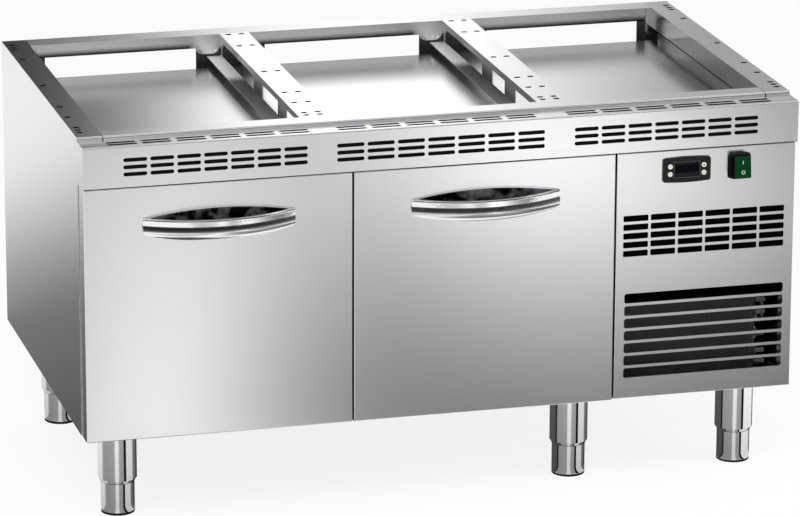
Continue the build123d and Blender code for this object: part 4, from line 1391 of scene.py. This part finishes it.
@dataclass
class CoolingUnit(SubAssembly):
    """The compressor, condenser, evaporator and what joins them."""

    fin_sheet: float = 0.4 * MM
    fin_pitch: float = 3.6 * MM
    fin_reach: float = 1.8 * MM
    end_plate: float = 2.0 * MM
    bends: float = 14.5 * MM
    stub: Span = (5.0 * MM, 17.0 * MM)  # radius and length of a tube end
    stub_sides: int = 20
    stub_dome: float = 5.0 * MM / 3
    stub_start: float = 3.0 * MM
    stub_rises: Sequence[float] = (23.0 * MM, 42.5 * MM, 72.0 * MM, 110.0 * MM, 132.5 * MM)

    def finishes(self) -> dict[str, Finish]:
        """Say which finish each CAD node wears.

        Returns:
            Finishes by node.
        """
        return {
            "compressor": BLACK_PAINT,
            "cooling_tray": ZINC,
            "condenser_coil": COATED_FIN,
            "fan_shroud": BLACK_PAINT,
            "condenser_fan": MATTE_BLACK,
            "control_box": MATTE_BLACK,
            "refrigerant_pipes": TUBE,
            "evaporator_box": LINER,
            "evaporator_coil": BARE_FIN,
            "evaporator_fan": MATTE_BLACK,
        }

    def build(self) -> None:
        """Show the bare tube bends and set the fins ahead of the condenser block."""
        low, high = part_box("condenser_coil")
        end = high.x - self.bends
        bare = end - self.end_plate / 2
        paint(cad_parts["condenser_coil"], TUBE, lambda centre, normal: centre.x > bare)
        left = low.x + self.end_plate + self.fin_pitch
        block = low.y + self.end_plate
        fin = brick(
            (left, block - self.fin_reach, low.z),
            (left + self.fin_sheet, block, high.z - self.end_plate),
        )
        bake(
            fin,
            "ARRAY",
            count=int((end - self.end_plate - left) / self.fin_pitch),
            use_relative_offset=False,
            use_constant_offset=True,
            constant_offset_displace=(self.fin_pitch, 0.0, 0.0),
        )
        settle(fin, "condenser_fins", "cabinet", COATED_FIN)
        self._stubs(Vector((end + self.stub_start, low.y + self.stub[0] + self.end_plate, low.z)))

    def _stubs(self, corner: Vector) -> None:
        """Set the capped tube ends beside the condenser block.

        Args:
            corner: the foot of the block's right end, on the tubes' own line.
        """
        stub = disc(*self.stub, self.stub_sides)
        with editing(stub):
            pick(stub, lambda centre, normal: normal.z > FACING)
            ease(self.stub_dome)
        spots = [corner + rise * Axis.Z.vector for rise in self.stub_rises]
        copies = repeat(stub, [facing(spot, Axis.X.vector) for spot in spots])
        for number, copy in enumerate(copies, start=1):
            settle(copy, f"tube_end_{number}", "cabinet", TUBE)


def graded(tree: NodeTree, amount: NodeSocket, span: Span, stops: Sequence[Span]) -> NodeSocket:
    """Grade a level through a row of stops.

    Args:
        tree: the material's nodes.
        amount: socket that runs from 0 to 1 over the span.
        span: the first and the last place.
        stops: places in the span with the level at each.

    Returns:
        The level's socket.
    """
    node = add_node(tree, "ValToRGB", {"Fac": amount})
    ramp = node.color_ramp.elements
    shares = [(place - span[0]) / (span[1] - span[0]) for place, _ in stops]
    for share in shares[2:]:
        ramp.new(share)
    for stop, share, (_, level) in zip(ramp, shares, stops):
        stop.position = share
        stop.color = (level, level, level, 1.0)
    return node.outputs["Color"]


@dataclass
class Reflected:
    """A graded light of the studio that shows in reflections and nowhere else."""

    gain: float = field(default=1.0, kw_only=True)

    def shape(self) -> Object:
        """Model the light in its place."""
        raise NotImplementedError

    def level(self, tree: NodeTree) -> NodeSocket:
        """Grade the light over its face.

        Args:
            tree: its material's nodes.

        Returns:
            The level's socket.
        """
        raise NotImplementedError

    def build(self) -> Object:
        """Model the light, let it glow and hide it from all but glossy rays.

        Returns:
            The light.
        """
        light = self.shape()
        made = blank_material(light.name)
        tree = made.node_tree
        colour = (self.gain, self.gain, self.gain, 1.0)
        glow = add_node(tree, "Emission", {"Color": colour, "Strength": self.level(tree)})
        add_node(tree, "OutputMaterial", {"Surface": glow.outputs[0]})
        light.data.materials.append(made)
        for ray in ("camera", "diffuse", "transmission", "volume_scatter", "shadow"):
            setattr(light, f"visible_{ray}", False)
        return light


@dataclass
class Card(Reflected):
    """A flat studio card.

    Its face starts flat on the floor; turn stands it up about X, then spin turns it about Z. Its
    level is gain * (base(x) + streak(x) * fade(y)), by stops in metres from the card's middle.
    """

    name: str
    centre: Sequence[float]
    size: Span
    base: Sequence[Span] = ((-1.0, 0.0), (1.0, 0.0))
    streak: Sequence[Span] = ()
    fade: Sequence[Span] = ()
    turn: float = 0.0
    spin: float = 0.0

    def shape(self) -> Object:
        """Lay the card down, stand it up and turn it.

        Returns:
            The card.
        """
        card = fresh(bpy.ops.mesh.primitive_plane_add, size=1.0)
        card.name = self.name
        card.data.transform(Matrix.Diagonal((*self.size, 1.0, 1.0)))
        stand = Matrix.Rotation(math.radians(self.turn), 4, "X")
        swing = Matrix.Rotation(math.radians(self.spin), 4, "Z")
        card.matrix_world = Matrix.Translation(self.centre) @ swing @ stand
        return card

    def level(self, tree: NodeTree) -> NodeSocket:
        """Grade the card over its width and, where it has a streak, its length.

        Args:
            tree: its material's nodes.

        Returns:
            The level's socket.
        """
        spot = spot_axes(tree)
        level = self._along(tree, spot["X"], self.size[0], self.base)
        if self.streak:
            streak = self._along(tree, spot["X"], self.size[0], self.streak)
            fade = self._along(tree, spot["Y"], self.size[1], self.fade)
            level = maths(tree, "MULTIPLY_ADD", streak, fade, level)
        return level

    def _along(
        self, tree: NodeTree, spot: NodeSocket, reach: float, stops: Sequence[Span]
    ) -> NodeSocket:
        """Grade a level over one side of the card.

        Args:
            tree: the material's nodes.
            spot: the place along that side.
            reach: the side's length.
            stops: metres from the middle, with the level there.

        Returns:
            The level's socket.
        """
        span = (-reach / 2, reach / 2)
        return graded(tree, remap(tree, spot, span), span, stops)


@dataclass
class HorizonBowl(Reflected):
    """The dark far side of the studio: a low sloping wall all round."""

    inner: float = 3.5
    outer: float = 4.7
    height: float = 1.4
    sides: int = 64
    stops: Sequence[Span] = ((0.0, 0.55), (0.15, 0.38), (0.3, 0.15), (0.42, 0.05), (1.4, 0.03))

    def shape(self) -> Object:
        """Stand the wall round the counter.

        Returns:
            The wall.
        """
        wall = fresh(
            bpy.ops.mesh.primitive_cone_add,
            vertices=self.sides,
            radius1=self.inner,
            radius2=self.outer,
            depth=self.height,
            end_fill_type="NOTHING",
            location=(0.0, 0.0, self.height / 2),
        )
        wall.name = "horizon_bowl"
        return wall

    def level(self, tree: NodeTree) -> NodeSocket:
        """Grade the wall by metres above the floor.

        Args:
            tree: its material's nodes.

        Returns:
            The level's socket.
        """
        rise = remap(tree, spot_axes(tree)["Z"], (-self.height / 2, self.height / 2))
        return graded(tree, rise, (0.0, self.height), self.stops)


@dataclass
class LegTent(Reflected):
    """A short tube of light strips round one leg, for its chrome."""

    foot: str
    stops: Sequence[Span]  # degrees from the camera, to the right, with the level there
    radius: float = 60.0 * MM
    height: float = 142.0 * MM
    rise: float = 4.2 * MM
    foot_level: float = 0.7  # share of the light that is left at the floor
    sides: int = 48

    def shape(self) -> Object:
        """Stand the tube round its leg and turn it to the camera.

        Returns:
            The tube.
        """
        tube = fresh(
            bpy.ops.mesh.primitive_cylinder_add,
            vertices=self.sides,
            radius=self.radius,
            depth=self.height,
            end_fill_type="NGON",
        )
        tube.name = f"tent_{self.foot}"
        centre = middle_of(self.foot)
        centre.z = self.rise + self.height / 2
        towards = math.radians(-90.0 - CAMERA_YAW)
        tube.matrix_world = Matrix.Translation(centre) @ Matrix.Rotation(towards, 4, "Z")
        return tube

    def level(self, tree: NodeTree) -> NodeSocket:
        """Make the strips by their direction from the leg, dimmer towards the floor.

        Args:
            tree: its material's nodes.

        Returns:
            The level's socket.
        """
        around = {"Vector": spot_on(tree)}
        turn = add_node(tree, "TexGradient", around, gradient_type="RADIAL").outputs["Fac"]
        strips = graded(tree, turn, (-180.0, 180.0), self.stops)
        upright = (-self.height / 2, self.height / 2)
        dim = remap(tree, spot_axes(tree)["Z"], upright, (self.foot_level, 1.0))
        return maths(tree, "MULTIPLY", strips, dim)


@dataclass(frozen=True)
class PhotoCamera:
    """The camera that took the photograph, solved from the counter's corners."""

    position: Sequence[float] = (-2.00986, -7.47677, 2.63578)
    yaw: float = CAMERA_YAW
    pitch: float = 16.631
    roll: float = 0.192
    focal_px: float = 4759.9
    image_width: int = 800
    sensor_mm: float = 36.0

    def build(self) -> None:
        """Make the camera and make it the scene's own."""
        yaw, pitch, roll = (math.radians(turn) for turn in (self.yaw, self.pitch, self.roll))
        ahead = Vector(
            (math.sin(yaw) * math.cos(pitch), math.cos(yaw) * math.cos(pitch), -math.sin(pitch))
        )
        level = Vector((math.cos(yaw), -math.sin(yaw), 0.0))
        rise = level.cross(ahead)
        right = math.cos(roll) * level + math.sin(roll) * rise
        upward = -math.sin(roll) * level + math.cos(roll) * rise
        turn = Matrix((right, upward, -ahead)).transposed().to_4x4()
        data = bpy.data.cameras.new("photo_camera")
        data.sensor_fit = "HORIZONTAL"
        data.sensor_width = self.sensor_mm
        data.lens = self.sensor_mm * self.focal_px / self.image_width
        camera = bpy.data.objects.new("photo_camera", data)
        camera.matrix_world = Matrix.Translation(self.position) @ turn
        bpy.context.scene.collection.objects.link(camera)
        bpy.context.scene.camera = camera


@dataclass(frozen=True)
class Softbox:
    """A square soft lamp that looks at the counter."""

    name: str
    place: Sequence[float]
    power: float
    side: float = 2.0
    aim: Sequence[float] = (0.0, 0.0, 0.35)

    def build(self) -> None:
        """Hang the lamp."""
        data = bpy.data.lights.new(self.name, "AREA")
        data.shape = "RECTANGLE"
        data.size = data.size_y = self.side
        data.energy = self.power
        lamp = bpy.data.objects.new(self.name, data)
        lamp.location = self.place
        ahead = Vector(self.aim) - Vector(self.place)
        lamp.rotation_euler = ahead.to_track_quat("-Z", "Y").to_euler()
        bpy.context.scene.collection.objects.link(lamp)


@dataclass
class Studio:
    """A pale floor, soft light and the graded cards that the steel mirrors."""

    cards: Sequence[Reflected]
    lamps: Sequence[Softbox]
    floor_size: float = 60.0
    floor_white: str = "EDEDED"
    shadow_share: float = 0.15  # how much of the shadow the pale floor keeps
    ambient: float = 0.75  # the room's light on what isn't a mirror

    def build(self) -> None:
        """Set the view, world, floor, cards and lamps."""
        bpy.context.scene.view_settings.view_transform = "Standard"
        self._world()
        self._floor()
        for card in self.cards:
            log.info("card %s", card.build().name)
        for lamp in self.lamps:
            lamp.build()

    def _seen(self, tree: NodeTree) -> NodeSocket:
        """Give 1 for camera, glossy and transmission rays, and 0 for the rest.

        Args:
            tree: the nodes that take it.

        Returns:
            The value's socket.
        """
        path = add_node(tree, "LightPath").outputs
        mirrored = maths(tree, "MAXIMUM", path["Is Glossy Ray"], path["Is Transmission Ray"])
        return maths(tree, "MAXIMUM", path["Is Camera Ray"], mirrored)

    def _world(self) -> None:
        """Light the room evenly and show it white behind the counter."""
        world = bpy.data.worlds.new("studio")
        bpy.context.scene.world = world
        world.use_nodes = True
        tree = world.node_tree
        tree.nodes.clear()
        level = remap(tree, self._seen(tree), UNIT, (self.ambient, 1.0))
        sky = add_node(tree, "Background", {"Color": WHITE, "Strength": level})
        add_node(tree, "OutputWorld", {"Surface": sky.outputs[0]})

    def _floor(self) -> None:
        """Lay the pale floor, white to the eye but for a faint shadow."""
        floor = fresh(bpy.ops.mesh.primitive_plane_add, size=self.floor_size)
        floor.name = "studio_floor"
        made = blank_material("pale_floor")
        tree = made.node_tree
        matt = add_node(tree, "BsdfDiffuse", {"Color": linear(self.floor_white)}).outputs[0]
        glow = add_node(tree, "Emission", {"Strength": 1.0}).outputs[0]
        share = remap(tree, self._seen(tree), UNIT, (0.0, 1.0 - self.shadow_share))
        mixed = add_node(tree, "MixShader", {0: share, 1: matt, 2: glow}).outputs[0]
        add_node(tree, "OutputMaterial", {"Surface": mixed})
        floor.data.materials.append(made)


SOFTBOXES = (
    Softbox("key_softbox", (-2.2, -2.6, 3.2), 90.0),
    Softbox("fill_softbox", (3.0, -1.5, 2.6), 50.0),
)
STUDIO_CARDS = (
    Card(  # the floor that the fronts mirror: a pale strip on the left, a bright far end
        "front_floor_card",
        (0.4566, -2.0165, 0.004),
        (2.4, 3.0),
        base=(
            (-1.2, 0.25), (-0.7, 0.36), (-0.62, 0.46), (-0.53, 0.57), (-0.46, 0.56), (-0.38, 0.43),
            (-0.29, 0.26), (-0.2, 0.155), (-0.11, 0.093), (0.0, 0.058), (0.1, 0.033), (1.2, 0.027),
        ),
        streak=(
            (-0.4, 0.05), (-0.31, 0.1), (-0.21, 0.2), (-0.12, 0.35), (-0.02, 0.57), (0.07, 0.85),
            (0.16, 0.97), (0.26, 1.0), (0.32, 0.95), (0.43, 0.84), (0.58, 0.7), (0.7, 0.42),
            (1.2, 0.15),
        ),
        fade=(
            (-1.5, 1.1), (-0.61, 1.1), (-0.27, 0.93), (0.15, 0.51), (0.5, 0.3), (0.87, 0.2),
            (1.29, 0.095), (1.5, 0.06),
        ),
        gain=1.8,
        spin=CAMERA_YAW,
    ),
    Card(  # the floor further out that the fascia mirrors: darker at both ends
        "far_floor_card",
        (0.694, -2.895, 0.005),
        (2.4, 1.18),
        base=(
            (-1.2, 0.5), (-0.71, 0.61), (-0.53, 0.8), (-0.28, 0.71), (-0.13, 0.8), (0.08, 1.6),
            (0.34, 1.6), (0.46, 1.05), (0.61, 0.6), (0.74, 0.3), (1.2, 0.15),
        ),
        spin=CAMERA_YAW,
    ),
    Card(  # the light under the rear rail that the deck's rear edge mirrors
        "channel_card",
        (0.0, 0.3625, 0.622),
        (1.1, 0.03),
        base=((-0.55, 0.42), (0.55, 0.42)),
        turn=90.0,
    ),
    Card(  # the floor that the left side mirrors: dark near the front, pale further back
        "side_floor_card",
        (-0.85, 1.4, 0.003),
        (3.4, 2.4),
        streak=((-1.7, 1.0), (1.7, 1.0)),
        fade=(
            (-1.2, 0.08), (-0.76, 0.1), (-0.52, 0.15), (-0.3, 0.2), (-0.25, 0.28), (-0.07, 0.46),
            (-0.03, 0.56), (0.01, 0.6), (0.18, 0.82), (0.23, 0.93), (0.45, 1.0), (1.2, 1.0),
        ),
        spin=-45.0,
    ),
    Card(  # the far wall that the tops mirror: dark left, a bright window, mid grey right
        "back_card",
        (1.5, 8.0, 3.0),
        (9.0, 4.0),
        base=(
            (-4.5, 0.03), (-0.65, 0.02), (-0.5, 0.05), (-0.36, 0.13), (-0.2, 0.3), (-0.06, 0.6),
            (0.06, 0.92), (0.2, 1.12), (0.8, 1.12), (1.0, 0.86), (1.49, 0.46), (1.7, 0.3), (2.1, 0.3),
            (4.5, 0.3),
        ),
        gain=1.3,
        turn=90.0,
    ),
    Card(  # the wall behind the camera that the rear rail mirrors by way of the deck
        "front_flag",
        (0.0, -4.7, 2.9),
        (9.0, 3.0),
        base=((-4.5, 0.5), (0.9, 0.5), (1.7, 0.4), (4.5, 0.4)),
        turn=90.0,
    ),
    Card(  # the grey ceiling that the rolled edges mirror
        "ceiling_card",
        (0.0, -1.0, 6.0),
        (9.0, 7.0),
        base=((-4.5, 0.5), (4.5, 0.5)),
    ),
    Card(  # the dark floor behind the counter that the right rail's flange mirrors
        "rear_floor_card",
        (-0.27, 2.97, 0.004),
        (0.9, 0.6),
        base=((-0.45, 0.05), (0.45, 0.05)),
    ),
)
# The strips round a leg, from behind it by its left and its front to behind it again
FROM_BEHIND = ((-180.0, 0.6), (-160.0, 0.6))
DARK_LEFT = ((-140.0, 0.1), (-68.0, 0.1), (-66.0, 0.02), (-58.0, 0.02))
PALE_LEFT = ((-145.0, 0.3), (-120.0, 0.9), (-76.0, 0.9), (-68.0, 0.4))
IN_FRONT = (
    (-55.0, 0.34), (-9.0, 0.4), (-5.0, 0.95), (9.0, 0.9), (12.0, 0.42), (31.0, 0.36), (33.0, 0.0),
    (42.0, 0.0),
)
DARK_RIGHT = ((45.0, 0.8), (78.0, 0.8), (84.0, 0.2), (110.0, 0.15), (118.0, 0.01), (140.0, 0.01))
PALE_RIGHT = ((45.0, 1.05), (104.0, 1.05), (112.0, 0.3), (122.0, 0.05), (140.0, 0.05))
TO_BEHIND = ((160.0, 0.6), (180.0, 0.6))
LEG_SIDES = {
    "left": (PALE_LEFT, DARK_RIGHT),
    "middle": (DARK_LEFT, DARK_RIGHT),
    "right": (DARK_LEFT, PALE_RIGHT),
}
LEG_TENTS = [
    LegTent(f"foot_{row}_{column}", FROM_BEHIND + left + IN_FRONT + right + TO_BEHIND)
    for row in ("front", "rear")
    for column, (left, right) in LEG_SIDES.items()
]


def main() -> None:
    """Build the counter's groups in order, then the studio round it."""
    logging.basicConfig(level=logging.INFO, format="%(message)s")
    groups: list[SubAssembly] = [
        Cabinet(),
        TopFrame(),
        Drawer(1),
        Drawer(2),
        Controls(),
        Legs(),
        CoolingUnit(),
    ]
    for group in groups:
        group.dress()
        group.build()
    Studio([*STUDIO_CARDS, HorizonBowl(), *LEG_TENTS], SOFTBOXES).build()
    PhotoCamera().build()


if __name__ == "__main__":
    main()
